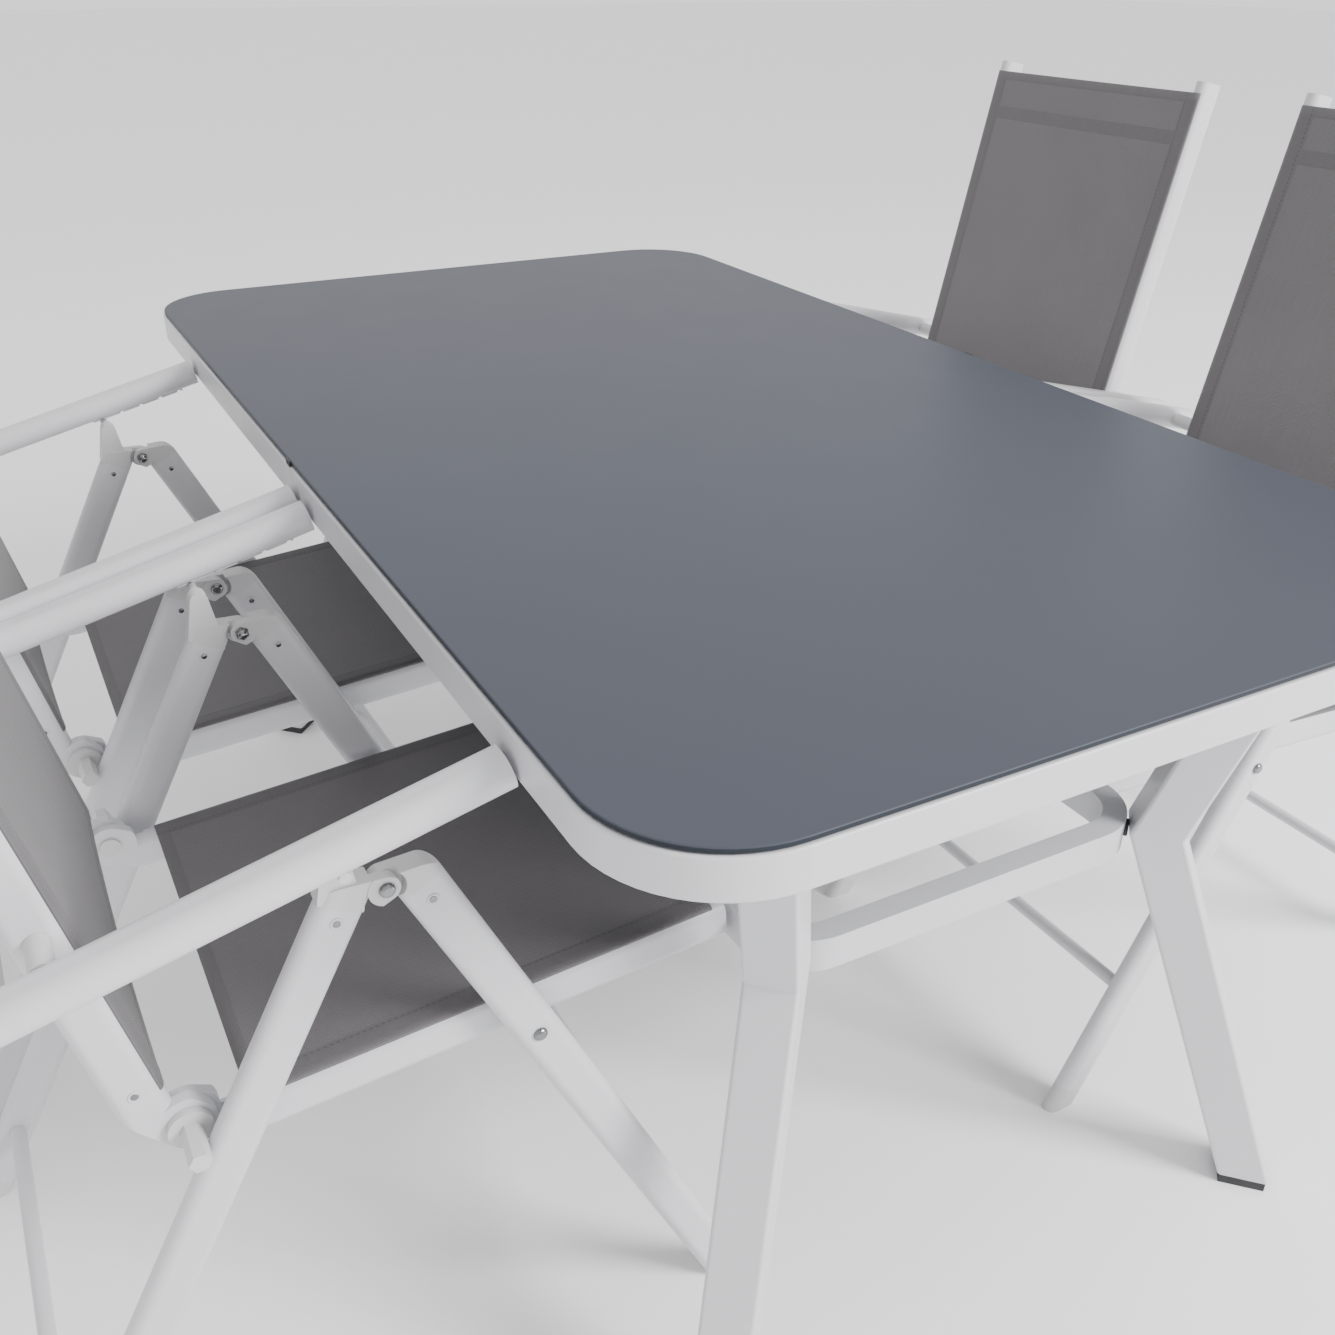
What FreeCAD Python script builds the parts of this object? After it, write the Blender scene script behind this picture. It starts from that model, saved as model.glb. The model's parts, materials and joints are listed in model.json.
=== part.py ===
import FreeCAD, Part
import math
import os
import Sketcher
from FreeCAD import Placement, Rotation, Vector

# Patio dining set: a rounded glass-topped table and four folding armchairs.
# Row frame: origin on the floor under the middle of the table, +Z up,
# X from chair to chair across the table, Y along the table. Millimetres.

SIZES = {
    # table
    "table_length": 1600.0,
    "table_width": 900.0,
    "table_height": 740.0,
    "corner_radius": 110.0,
    "glass_thickness": 5.0,
    "glass_inset": 2.0,
    "glass_edge_round": 1.5,
    "pad_thickness": 1.0,
    "pad_radius": 9.0,
    "apron_height": 35.0,
    "apron_depth": 25.0,
    "apron_wall": 2.0,
    "apron_edge_round": 2.5,
    "cross_rail_width": 40.0,
    "cross_rail_wall": 2.0,
    "leg_side": 50.0,
    "leg_wall": 2.0,
    "leg_edge_round": 4.0,
    "leg_top_x": 280.0,
    "leg_top_y": 664.0,
    "leg_knee_in": 77.0,
    "leg_knee_height": 440.0,
    "leg_foot_out": 90.0,
    "leg_plate_side": 96.0,
    "leg_plate_thickness": 4.0,
    "foot_height": 12.0,
    "foot_inset": 1.0,
    "ring_center_height": 432.0,
    "ring_tube_height": 35.0,
    "ring_tube_depth": 24.0,
    "ring_tube_wall": 1.8,
    "ring_corner_radius": 65.0,
    "ring_leg_gap": 3.0,
    "bolt_radius": 3.0,
    "bolt_head_radius": 5.5,
    "bolt_head_thickness": 2.5,
    "clip_length": 14.0,
    "clip_gap": 0.2,
    # chair set-out
    "chair_front_y": -330.0,
    "chair_back_y": 238.0,
    "arm_gap_to_table": 2.0,
    # chair tubes
    "tube_width": 38.0,
    "tube_thickness": 20.0,
    "tube_wall": 1.6,
    "cross_tube_diameter": 16.0,
    "cross_tube_wall": 1.5,
    "rail_center_y": 196.0,
    "leg_center_y": 227.0,
    "arm_center_y": 259.5,
    # chair side geometry, measured from the front end of the armrest
    "hinge_back": 88.0,
    "hinge_height": 612.0,
    "front_lean": 25.0,
    "front_hinge_offset": 21.2,
    "rear_lean": 28.2,
    "rear_hinge_offset": 26.2,
    "leg_tube_top": 605.0,
    "leg_tube_bottom": 24.0,
    "seat_pivot_height": 422.0,
    "recline_pivot_back": 248.5,
    "recline_pivot_height": 428.0,
    "seat_slope": 4.1,
    "seat_rail_offset": 20.0,
    "seat_front_reach": 459.0,
    "rail_end_setback": 36.0,
    "back_lean": 12.0,
    "back_tube_offset": 22.0,
    "back_tube_start": 36.0,
    "back_tube_length": 596.0,
    "arm_pivot_up": 210.0,
    "arm_slope": 13.6,
    "arm_length": 308.0,
    "arm_rear_overhang": 26.0,
    "arm_width": 38.0,
    "arm_depth": 28.0,
    "arm_wall": 1.8,
    "arm_cap_length": 14.0,
    "rack_thickness": 3.0,
    "rack_start": 180.0,
    "rack_end": 300.0,
    "rack_notch_radius": 2.5,
    "latch_radius": 4.5,
    "latch_along": 192.0,
    "latch_gap": 0.4,
    "front_bar_height": 150.0,
    "rear_bar_height": 85.0,
    "seat_bar_front": 52.0,
    "seat_bar_rear": 330.0,
    "back_bar_low": 80.0,
    "back_bar_high": 545.0,
    # chair hinge fittings
    "hinge_ear_radius": 10.5,
    "hinge_boss_radius": 14.0,
    "hub_boss_radius": 25.0,
    "hinge_recess_radius": 15.0,
    "horn_root_radius": 17.5,
    "horn_tip_radius": 8.5,
    "hub_ear_radius": 21.0,
    "hub_recess_radius": 33.0,
    "hub_shaft_radius": 6.0,
    "hub_cap_radius": 17.0,
    "hub_cap_thickness": 6.0,
    "hub_pin_flats": 15.0,
    "hub_pin_reach": 35.0,
    "screw_radius": 4.0,
    "screw_head_radius": 6.0,
    "screw_head_thickness": 2.5,
    "spacer_radius": 10.0,
    "bush_shaft_radius": 5.0,
    "bush_sleeve_radius": 9.0,
    "bush_reach": 11.0,
    "plug_depth": 26.0,
    "end_cap_length": 9.0,
    "running_gap": 0.05,
    "face_gap": 0.3,
    "plug_gap": 0.1,
    # slings
    "sling_thickness": 3.0,
    "sling_rise": 9.0,
    "sling_side_gap": 0.6,
    "seat_sling_front": 3.0,
    "seat_sling_rear": 415.0,
    "back_sling_low": 42.0,
    "back_sling_high": 626.0,
}

CHAIRS = (
    ("chair_a", -1.0, "chair_front_y"),
    ("chair_b", -1.0, "chair_back_y"),
    ("chair_c", 1.0, "chair_back_y"),
    ("chair_d", 1.0, "chair_front_y"),
)
CORNERS = (
    ("near_left", -1.0, -1.0),
    ("near_right", 1.0, -1.0),
    ("far_left", -1.0, 1.0),
    ("far_right", 1.0, 1.0),
)

doc = FreeCAD.newDocument("patio_dining_set")
sheet = doc.addObject("Spreadsheet::Sheet", "sizes")
cell_row = [0]


def write_cell(alias, number):
    """Store one plain number under its alias."""
    cell_row[0] += 1
    cell = "B%d" % cell_row[0]
    sheet.set("A%d" % cell_row[0], alias)
    sheet.set(cell, repr(float(number)))
    sheet.setAlias(cell, alias)


for alias_name in SIZES:
    write_cell(alias_name, SIZES[alias_name])
doc.recompute()


def val(alias):
    """Read a size back from the sheet."""
    return float(sheet.get(alias))


def derived(alias, number):
    """Keep a worked-out size in the sheet so that features can be bound to it."""
    write_cell(alias, number)
    return number


# ---------------------------------------------------------------- chair side geometry
def rad(degrees):
    return math.radians(degrees)


arm_tip_x = -(val("table_width") / 2.0 + val("arm_gap_to_table"))
arm_dir = Vector(math.cos(rad(val("arm_slope"))), 0, math.sin(rad(val("arm_slope"))))
arm_up = Vector(-arm_dir.z, 0, arm_dir.x)
hinge = Vector(arm_tip_x - val("hinge_back"), 0, val("hinge_height"))
front_down = Vector(math.sin(rad(val("front_lean"))), 0, -math.cos(rad(val("front_lean"))))
rear_down = Vector(-math.sin(rad(val("rear_lean"))), 0, -math.cos(rad(val("rear_lean"))))
front_side = Vector(-front_down.z, 0, front_down.x)
rear_side = Vector(rear_down.z, 0, -rear_down.x)


def at_height(point, direction, height):
    """Point of a line at a given height."""
    return point + direction * ((height - point.z) / direction.z)


front_ref = hinge + front_side * val("front_hinge_offset")
rear_ref = hinge + rear_side * val("rear_hinge_offset")
front_top = at_height(front_ref, front_down, val("leg_tube_top"))
front_bottom = at_height(front_ref, front_down, val("leg_tube_bottom"))
rear_top = at_height(rear_ref, rear_down, val("leg_tube_top"))
rear_bottom = at_height(rear_ref, rear_down, val("leg_tube_bottom"))
seat_pivot = at_height(front_ref, front_down, val("seat_pivot_height"))
recline_pivot = Vector(arm_tip_x - val("recline_pivot_back"), 0, val("recline_pivot_height"))
seat_dir = Vector(math.cos(rad(val("seat_slope"))), 0, math.sin(rad(val("seat_slope"))))
seat_up = Vector(-seat_dir.z, 0, seat_dir.x)
seat_base = recline_pivot - seat_up * val("seat_rail_offset")
seat_rear = seat_base + seat_dir * val("rail_end_setback")
seat_front = seat_base + seat_dir * val("seat_front_reach")
back_dir = Vector(-math.sin(rad(val("back_lean"))), 0, math.cos(rad(val("back_lean"))))
back_rear = Vector(-back_dir.z, 0, back_dir.x)
back_base = recline_pivot + back_rear * val("back_tube_offset")
back_low = back_base + back_dir * val("back_tube_start")
back_high = back_low + back_dir * val("back_tube_length")
arm_pivot = back_base + back_dir * val("arm_pivot_up")
latch_drop = val("arm_depth") / 2.0 + val("rack_thickness") + val("latch_gap") + val("latch_radius")
latch_point = arm_pivot + arm_dir * val("latch_along") - arm_up * latch_drop

half_tube = val("tube_thickness") / 2.0
rail_in = val("rail_center_y") - half_tube
rail_out = val("rail_center_y") + half_tube
leg_in = val("leg_center_y") - half_tube
leg_out = val("leg_center_y") + half_tube
arm_in = val("arm_center_y") - val("arm_width") / 2.0

derived("front_leg_run", (front_bottom - front_top).Length)
derived("rear_leg_run", (rear_bottom - rear_top).Length)
derived("seat_rail_run", (seat_front - seat_rear).Length)
derived("arm_run", val("arm_length") + val("arm_rear_overhang"))
derived("seat_bar_run", 2.0 * rail_in)
derived("leg_bar_run", 2.0 * leg_in)
derived("front_pivot_on_tube", (seat_pivot - front_top).Length)
seat_pivot_along = (seat_pivot - seat_rear).dot(seat_dir)
seat_pivot_drop = (seat_pivot - seat_rear).dot(seat_up)
derived("seat_pivot_along", seat_pivot_along)
derived("seat_pivot_drop", seat_pivot_drop)
derived("arm_pivot_on_tube", val("arm_pivot_up") - val("back_tube_start"))
derived("screw_hole_radius", val("screw_radius") + val("running_gap"))
derived("bush_hole_radius", val("bush_shaft_radius") + val("running_gap"))
derived("hub_hole_radius", val("hub_shaft_radius") + val("running_gap"))
derived("half_tube_thickness", half_tube)
derived("tube_core", (val("tube_width") - val("tube_thickness")) / 2.0)
derived("tube_bore", half_tube - val("tube_wall"))
derived("tube_plug", half_tube - val("tube_wall") - val("plug_gap"))
derived("arm_core", (val("arm_width") - val("arm_depth")) / 2.0)
derived("arm_round", val("arm_depth") / 2.0)
derived("arm_bore", val("arm_depth") / 2.0 - val("arm_wall"))
derived("arm_plug", val("arm_depth") / 2.0 - val("arm_wall") - val("plug_gap"))
derived("cross_bore", val("cross_tube_diameter") / 2.0 - val("cross_tube_wall"))
derived("hub_pin_corner", val("hub_pin_flats") / 2.0 / math.cos(rad(30.0)))
derived("half_tube_width", val("tube_width") / 2.0)
doc.recompute()


# ---------------------------------------------------------------- feature helpers
def cell(alias):
    return "sizes." + alias


def new_body(label):
    body = doc.addObject("PartDesign::Body", label)
    body.Label = label
    return body


def sketch_in(body, label, role):
    sketch = body.newObject("Sketcher::SketchObject", label)
    for feature in body.Origin.OriginFeatures:
        if feature.Role == role:
            sketch.AttachmentSupport = [(feature, "")]
    sketch.MapMode = "FlatFace"
    return sketch


def bind(sketch, index, alias):
    sketch.setExpression("Constraints[%d]" % index, cell(alias))


def link_loop(sketch, low_x, high_x, low_alias, high_alias, low_radius, high_radius):
    """Outline of two circles joined by their outer tangents, on the sketch's X axis."""
    low_r = val(low_radius)
    high_r = val(high_radius)
    tilt = math.asin((low_r - high_r) / (high_x - low_x))
    normal = Vector(math.sin(tilt), math.cos(tilt), 0)
    under = Vector(normal.x, -normal.y, 0)
    low = Vector(low_x, 0, 0)
    high = Vector(high_x, 0, 0)
    axis = Vector(0, 0, 1)
    quarter = math.pi / 2.0 - tilt
    first = sketch.GeometryCount
    sketch.addGeometry(Part.ArcOfCircle(Part.Circle(high, axis, high_r), -quarter, quarter), False)
    sketch.addGeometry(Part.LineSegment(high + normal * high_r, low + normal * low_r), False)
    sketch.addGeometry(
        Part.ArcOfCircle(Part.Circle(low, axis, low_r), quarter, 2.0 * math.pi - quarter), False)
    sketch.addGeometry(Part.LineSegment(low + under * low_r, high + under * high_r), False)
    for step in range(4):
        here = first + step
        after = first + (step + 1) % 4
        sketch.addConstraint(Sketcher.Constraint("Tangent", here, 2, after, 1))
    sketch.addConstraint(Sketcher.Constraint("PointOnObject", first, 3, -1))
    sketch.addConstraint(Sketcher.Constraint("PointOnObject", first + 2, 3, -1))
    index = sketch.addConstraint(Sketcher.Constraint("DistanceX", -1, 1, first, 3, high_x))
    bind(sketch, index, high_alias)
    if low_alias is None:
        sketch.addConstraint(Sketcher.Constraint("DistanceX", -1, 1, first + 2, 3, 0.0))
    else:
        index = sketch.addConstraint(Sketcher.Constraint("DistanceX", first + 2, 3, -1, 1, -low_x))
        bind(sketch, index, low_alias)
    index = sketch.addConstraint(Sketcher.Constraint("Radius", first, high_r))
    bind(sketch, index, high_radius)
    index = sketch.addConstraint(Sketcher.Constraint("Radius", first + 2, low_r))
    bind(sketch, index, low_radius)


def slot_loop(sketch, core_alias, radius_alias):
    core = val(core_alias)
    link_loop(sketch, -core, core, core_alias, core_alias, radius_alias, radius_alias)


def pad(body, sketch, length_alias, midplane=False):
    feature = body.newObject("PartDesign::Pad", body.Label + "_pad")
    feature.Profile = sketch
    if midplane:
        feature.Midplane = True
    feature.setExpression("Length", cell(length_alias))
    return feature


def cross_hole(body, across_alias, along_alias, radius_alias, label):
    """Round hole right through a tube, along its own Y."""
    sketch = sketch_in(body, label + "_sketch", "XZ_Plane")
    across = 0.0 if across_alias is None else val(across_alias)
    along = val(along_alias)
    radius = val(radius_alias)
    centre = Vector(across, along, 0)
    sketch.addGeometry(Part.Circle(centre, Vector(0, 0, 1), radius), False)
    if across_alias is None:
        sketch.addConstraint(Sketcher.Constraint("PointOnObject", 0, 3, -2))
    else:
        index = sketch.addConstraint(Sketcher.Constraint("DistanceX", -1, 1, 0, 3, across))
        bind(sketch, index, across_alias)
    index = sketch.addConstraint(Sketcher.Constraint("DistanceY", -1, 1, 0, 3, along))
    bind(sketch, index, along_alias)
    index = sketch.addConstraint(Sketcher.Constraint("Radius", 0, radius))
    bind(sketch, index, radius_alias)
    pocket = body.newObject("PartDesign::Pocket", label)
    pocket.Profile = sketch
    pocket.Type = 1
    pocket.Midplane = True
    return pocket


def axis_frame(origin, along, width_dir):
    """Placement whose local Z runs along the piece and local X across its width."""
    along = Vector(along).normalize()
    width_dir = Vector(width_dir).normalize()
    third = along.cross(width_dir)
    rotation = Rotation(width_dir, third, along, "ZXY")
    return Placement(origin, rotation)


def side_width(along):
    """Width direction of a tube that lies in the chair's side plane."""
    return Vector(0, 1, 0).cross(along)


def shift_y(point, y):
    return Vector(point.x, y, point.z)


def oval_tube(label, run_alias, core_alias, round_alias, bore_alias):
    body = new_body(label)
    sketch = sketch_in(body, label + "_profile", "XY_Plane")
    slot_loop(sketch, core_alias, round_alias)
    if bore_alias is not None:
        slot_loop(sketch, core_alias, bore_alias)
    pad(body, sketch, run_alias)
    return body


def round_tube(label, run_alias, diameter_alias, bore_alias):
    body = new_body(label)
    sketch = sketch_in(body, label + "_profile", "XY_Plane")
    sketch.addGeometry(
        Part.Circle(Vector(0, 0, 0), Vector(0, 0, 1), val(diameter_alias) / 2.0), False)
    sketch.addGeometry(Part.Circle(Vector(0, 0, 0), Vector(0, 0, 1), val(bore_alias)), False)
    sketch.addConstraint(Sketcher.Constraint("Coincident", 0, 3, -1, 1))
    sketch.addConstraint(Sketcher.Constraint("Coincident", 1, 3, -1, 1))
    index = sketch.addConstraint(Sketcher.Constraint("Diameter", 0, val(diameter_alias)))
    bind(sketch, index, diameter_alias)
    index = sketch.addConstraint(Sketcher.Constraint("Radius", 1, val(bore_alias)))
    bind(sketch, index, bore_alias)
    pad(body, sketch, run_alias)
    return body


def cylinder(label, radius_alias, height, base, direction):
    solid = doc.addObject("Part::Cylinder", label)
    solid.Label = label
    solid.setExpression("Radius", cell(radius_alias))
    solid.Height = height
    solid.Placement = Placement(base, Rotation(Vector(0, 0, 1), direction))
    return solid


def y_cylinder(label, radius_alias, point, y_low, y_high):
    return cylinder(label, radius_alias, y_high - y_low, shift_y(point, y_low), Vector(0, 1, 0))


def cut(label, base, tool):
    result = doc.addObject("Part::Cut", label)
    result.Label = label
    result.Base = base
    result.Tool = tool
    return result


def fuse(label, shapes):
    result = doc.addObject("Part::MultiFuse", label)
    result.Label = label
    result.Shapes = shapes
    result.Refine = True
    return result


def mirrored(source):
    """The same piece on the other side of the chair."""
    result = doc.addObject("Part::Mirroring", source.Name + "_other")
    result.Label = source.Label + "_other"
    result.Source = source
    result.Base = Vector(0, 0, 0)
    result.Normal = Vector(0, 1, 0)
    return result


def tapered_link(label, low_point, high_point, low_radius, high_radius, y_low, y_high):
    """Flat link between two bosses of the side view, filling a span of Y."""
    run = high_point - low_point
    run_alias = label + "_run"
    thick_alias = label + "_thick"
    derived(run_alias, run.Length)
    derived(thick_alias, y_high - y_low)
    doc.recompute()
    body = new_body(label)
    sketch = sketch_in(body, label + "_outline", "XY_Plane")
    link_loop(sketch, 0.0, run.Length, None, run_alias, low_radius, high_radius)
    pad(body, sketch, thick_alias)
    local_x = Vector(run).normalize()
    local_z = Vector(0, 1, 0)
    local_y = local_z.cross(local_x)
    rotation = Rotation(local_x, local_y, local_z, "XZY")
    body.Placement = Placement(shift_y(low_point, y_low), rotation)
    return body


def half_space(label, point, direction, y_mid):
    """Large block on one side of a plane square to a tube's axis."""
    block = doc.addObject("Part::Box", label)
    block.Label = label
    size = 6.0 * val("tube_width")
    block.Length = size
    block.Width = size
    block.Height = size
    frame = axis_frame(shift_y(point, y_mid), direction, side_width(direction))
    offset = Placement(Vector(-size / 2.0, -size / 2.0, 0), Rotation())
    block.Placement = frame.multiply(offset)
    return block


def casting(label, link, end, into, y_mid, pivot, boss_alias, y_low, y_high):
    """Link with the tube's own rounded section, full thickness only round its pivot."""
    span_alias = label + "_span"
    derived(span_alias, (pivot - end).Length + 3.0 * val("tube_width"))
    doc.recompute()
    section = oval_tube(label + "_section", span_alias, "tube_core", "half_tube_thickness", None)
    section.Placement = axis_frame(shift_y(end, y_mid), into * -1.0, side_width(into))
    boss = y_cylinder(label + "_boss", boss_alias, pivot, y_low, y_high)
    envelope = fuse(label + "_envelope", [section, boss])
    result = doc.addObject("Part::Common", label + "_casting")
    result.Label = label + "_casting"
    result.Base = link
    result.Tool = envelope
    return result


def tube_plug(label, end, into, y_mid, extra):
    """Plug that fills the end of an oval tube and stands out of it by a little."""
    derived(label + "_run", val("plug_depth") + extra)
    doc.recompute()
    body = oval_tube(label, label + "_run", "tube_core", "tube_plug", None)
    start = end - Vector(into).normalize() * extra
    body.Placement = axis_frame(shift_y(start, y_mid), into, side_width(into))
    return body


def node(label, members):
    result = doc.addObject("Part::Compound", label)
    result.Label = label
    result.Links = members
    return result


# ---------------------------------------------------------------- table
def rounded_sketch(body, label, length_alias, width_alias, radius_alias):
    """Rectangle with rounded corners, centred on the body's origin."""
    sketch = sketch_in(body, label, "XY_Plane")
    half_l = val(length_alias) / 2.0
    half_w = val(width_alias) / 2.0
    radius = val(radius_alias)
    up = Vector(0, 0, 1)
    sketch.addGeometry(
        Part.LineSegment(Vector(-half_w + radius, -half_l, 0), Vector(half_w - radius, -half_l, 0)))
    sketch.addGeometry(Part.ArcOfCircle(
        Part.Circle(Vector(half_w - radius, -half_l + radius, 0), up, radius), -math.pi / 2, 0.0))
    sketch.addGeometry(
        Part.LineSegment(Vector(half_w, -half_l + radius, 0), Vector(half_w, half_l - radius, 0)))
    sketch.addGeometry(Part.ArcOfCircle(
        Part.Circle(Vector(half_w - radius, half_l - radius, 0), up, radius), 0.0, math.pi / 2))
    sketch.addGeometry(
        Part.LineSegment(Vector(half_w - radius, half_l, 0), Vector(-half_w + radius, half_l, 0)))
    sketch.addGeometry(Part.ArcOfCircle(
        Part.Circle(Vector(-half_w + radius, half_l - radius, 0), up, radius), math.pi / 2, math.pi))
    sketch.addGeometry(
        Part.LineSegment(Vector(-half_w, half_l - radius, 0), Vector(-half_w, -half_l + radius, 0)))
    sketch.addGeometry(Part.ArcOfCircle(
        Part.Circle(Vector(-half_w + radius, -half_l + radius, 0), up, radius),
        math.pi, 1.5 * math.pi))
    for step in range(8):
        sketch.addConstraint(Sketcher.Constraint("Tangent", step, 2, (step + 1) % 8, 1))
    for step in (0, 4):
        sketch.addConstraint(Sketcher.Constraint("Horizontal", step))
    for step in (2, 6):
        sketch.addConstraint(Sketcher.Constraint("Vertical", step))
    for step in (3, 5, 7):
        sketch.addConstraint(Sketcher.Constraint("Equal", 1, step))
    index = sketch.addConstraint(Sketcher.Constraint("Radius", 1, radius))
    bind(sketch, index, radius_alias)
    index = sketch.addConstraint(Sketcher.Constraint("DistanceX", -1, 1, 2, 1, half_w))
    sketch.setExpression("Constraints[%d]" % index, cell(width_alias) + " / 2")
    index = sketch.addConstraint(Sketcher.Constraint("DistanceX", 6, 1, -1, 1, half_w))
    sketch.setExpression("Constraints[%d]" % index, cell(width_alias) + " / 2")
    index = sketch.addConstraint(Sketcher.Constraint("DistanceY", -1, 1, 4, 1, half_l))
    sketch.setExpression("Constraints[%d]" % index, cell(length_alias) + " / 2")
    index = sketch.addConstraint(Sketcher.Constraint("DistanceY", 0, 1, -1, 1, half_l))
    sketch.setExpression("Constraints[%d]" % index, cell(length_alias) + " / 2")
    return sketch


def rounded_slab(label, inset, thickness_alias, height, radius_alias, length="table_length",
                 width="table_width"):
    """Rounded slab; inset pulls its edge in from the given outline."""
    key = label + "_outline"
    derived(key + "_long", val(length) - 2.0 * inset)
    derived(key + "_wide", val(width) - 2.0 * inset)
    derived(key + "_radius", val(radius_alias) - inset)
    doc.recompute()
    body = new_body(label)
    sketch = rounded_sketch(body, key, key + "_long", key + "_wide", key + "_radius")
    pad(body, sketch, thickness_alias)
    body.Placement = Placement(Vector(0, 0, height), Rotation())
    return body


def outline_edges(feature, height, inset_x):
    """Names of the edges that lie at a height on the outer outline."""
    names = []
    shape = feature.Shape
    for number, edge in enumerate(shape.Edges):
        box = edge.BoundBox
        if abs(box.ZMin - height) < 1e-4 and abs(box.ZMax - height) < 1e-4:
            far = max(abs(box.XMin), abs(box.XMax)) > inset_x
            names.append((number + 1, far))
    return ["Edge%d" % number for number, far in names]


def fillet_edges(body, feature, names, radius_alias):
    result = body.newObject("PartDesign::Fillet", body.Label + "_fillet")
    result.Base = (feature, names)
    result.setExpression("Radius", cell(radius_alias))
    body.Tip = result
    return result


glass_top_z = val("table_height")
apron_top_z = glass_top_z - val("glass_thickness") - val("pad_thickness")
apron_low_z = apron_top_z - val("apron_height")
derived("apron_channel", val("apron_height") - 2.0 * val("apron_wall"))
derived("apron_through", val("apron_height") * 3.0)


def build_glass():
    body = rounded_slab("glass_sheet", val("glass_inset"), "glass_thickness",
                        glass_top_z - val("glass_thickness"), "corner_radius")
    doc.recompute()
    base = body.Tip
    names = outline_edges(base, val("glass_thickness"), 0.0) + outline_edges(base, 0.0, 0.0)
    fillet_edges(body, base, names, "glass_edge_round")
    return node("glass_top", [body])


def build_apron():
    outer = rounded_slab("apron_outer", 0.0, "apron_height", apron_low_z, "corner_radius")
    doc.recompute()
    base = outer.Tip
    names = outline_edges(base, val("apron_height"), 0.0) + outline_edges(base, 0.0, 0.0)
    fillet_edges(outer, base, names, "apron_edge_round")
    inner = rounded_slab("apron_inner", val("apron_depth"), "apron_through",
                         apron_low_z - val("apron_height"), "corner_radius")
    channel = rounded_slab("apron_channel_void", val("apron_wall"), "apron_channel",
                           apron_low_z + val("apron_wall"), "corner_radius")
    ring = cut("apron_ring", outer, inner)
    return node("top_frame", [cut("apron_profile", ring, channel)])


def box_tube(label, length, width, height, wall, centre):
    """Rectangular tube along X, open at both ends."""
    outer = doc.addObject("Part::Box", label + "_outer")
    outer.Length = length
    outer.setExpression("Width", cell(width))
    outer.setExpression("Height", cell(height))
    outer.Placement = Placement(
        Vector(centre.x - length / 2.0, centre.y - val(width) / 2.0, centre.z), Rotation())
    bore = doc.addObject("Part::Box", label + "_bore")
    bore.Length = length + 2.0 * val(wall)
    bore.setExpression("Width", "%s - 2 * %s" % (cell(width), cell(wall)))
    bore.setExpression("Height", "%s - 2 * %s" % (cell(height), cell(wall)))
    bore.Placement = Placement(
        Vector(centre.x - length / 2.0 - val(wall), centre.y - val(width) / 2.0 + val(wall),
               centre.z + val(wall)), Rotation())
    return cut(label, outer, bore)


def build_cross_rails():
    length = val("table_width") - 2.0 * val("apron_depth")
    rails = []
    for name, side in (("near", -1.0), ("far", 1.0)):
        centre = Vector(0, side * val("leg_top_y"), apron_low_z)
        rails.append(box_tube("cross_rail_" + name, length, "cross_rail_width", "apron_height",
                              "cross_rail_wall", centre))
    return node("top_cross_rails", rails)


def build_glass_pads():
    pads = []
    reach_x = val("table_width") / 2.0 - val("apron_depth") / 2.0
    reach_y = val("table_length") / 2.0 - val("apron_depth") / 2.0
    spots = []
    for side in (-1.0, 1.0):
        for share in (-0.72, 0.0, 0.72):
            spots.append((side * reach_x, share * reach_y))
        for share in (-0.45, 0.45):
            spots.append((share * reach_x, side * reach_y))
    for number, spot in enumerate(spots):
        pad_solid = cylinder("glass_pad_%d" % (number + 1), "pad_radius", val("pad_thickness"),
                             Vector(spot[0], spot[1], apron_top_z), Vector(0, 0, 1))
        pads.append(pad_solid)
    edge_x = val("table_width") / 2.0
    for name, side in (("left", -1.0), ("right", 1.0)):
        clip = doc.addObject("Part::Box", "glass_clip_" + name)
        clip.Label = "glass_clip_" + name
        clip.setExpression("Length", "%s - %s" % (cell("glass_inset"), cell("clip_gap")))
        clip.setExpression("Width", cell("clip_length"))
        clip.setExpression("Height", "%s + %s" % (cell("glass_thickness"), cell("pad_thickness")))
        inner_x = edge_x - val("glass_inset") + val("clip_gap")
        low_x = inner_x if side > 0 else -edge_x
        clip.Placement = Placement(Vector(low_x, -val("clip_length") / 2.0, apron_top_z),
                                   Rotation())
        pads.append(clip)
    return pads


plate_z = apron_low_z - val("leg_plate_thickness")
diagonal = math.sqrt(0.5)


def leg_stations():
    """Outward distance and height of the leg's centre line at top, knee and foot."""
    knee_out = -val("leg_knee_in")
    foot_out = val("leg_foot_out")
    return ((0.0, plate_z), (knee_out, val("leg_knee_height")), (foot_out, val("foot_height")))


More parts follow.
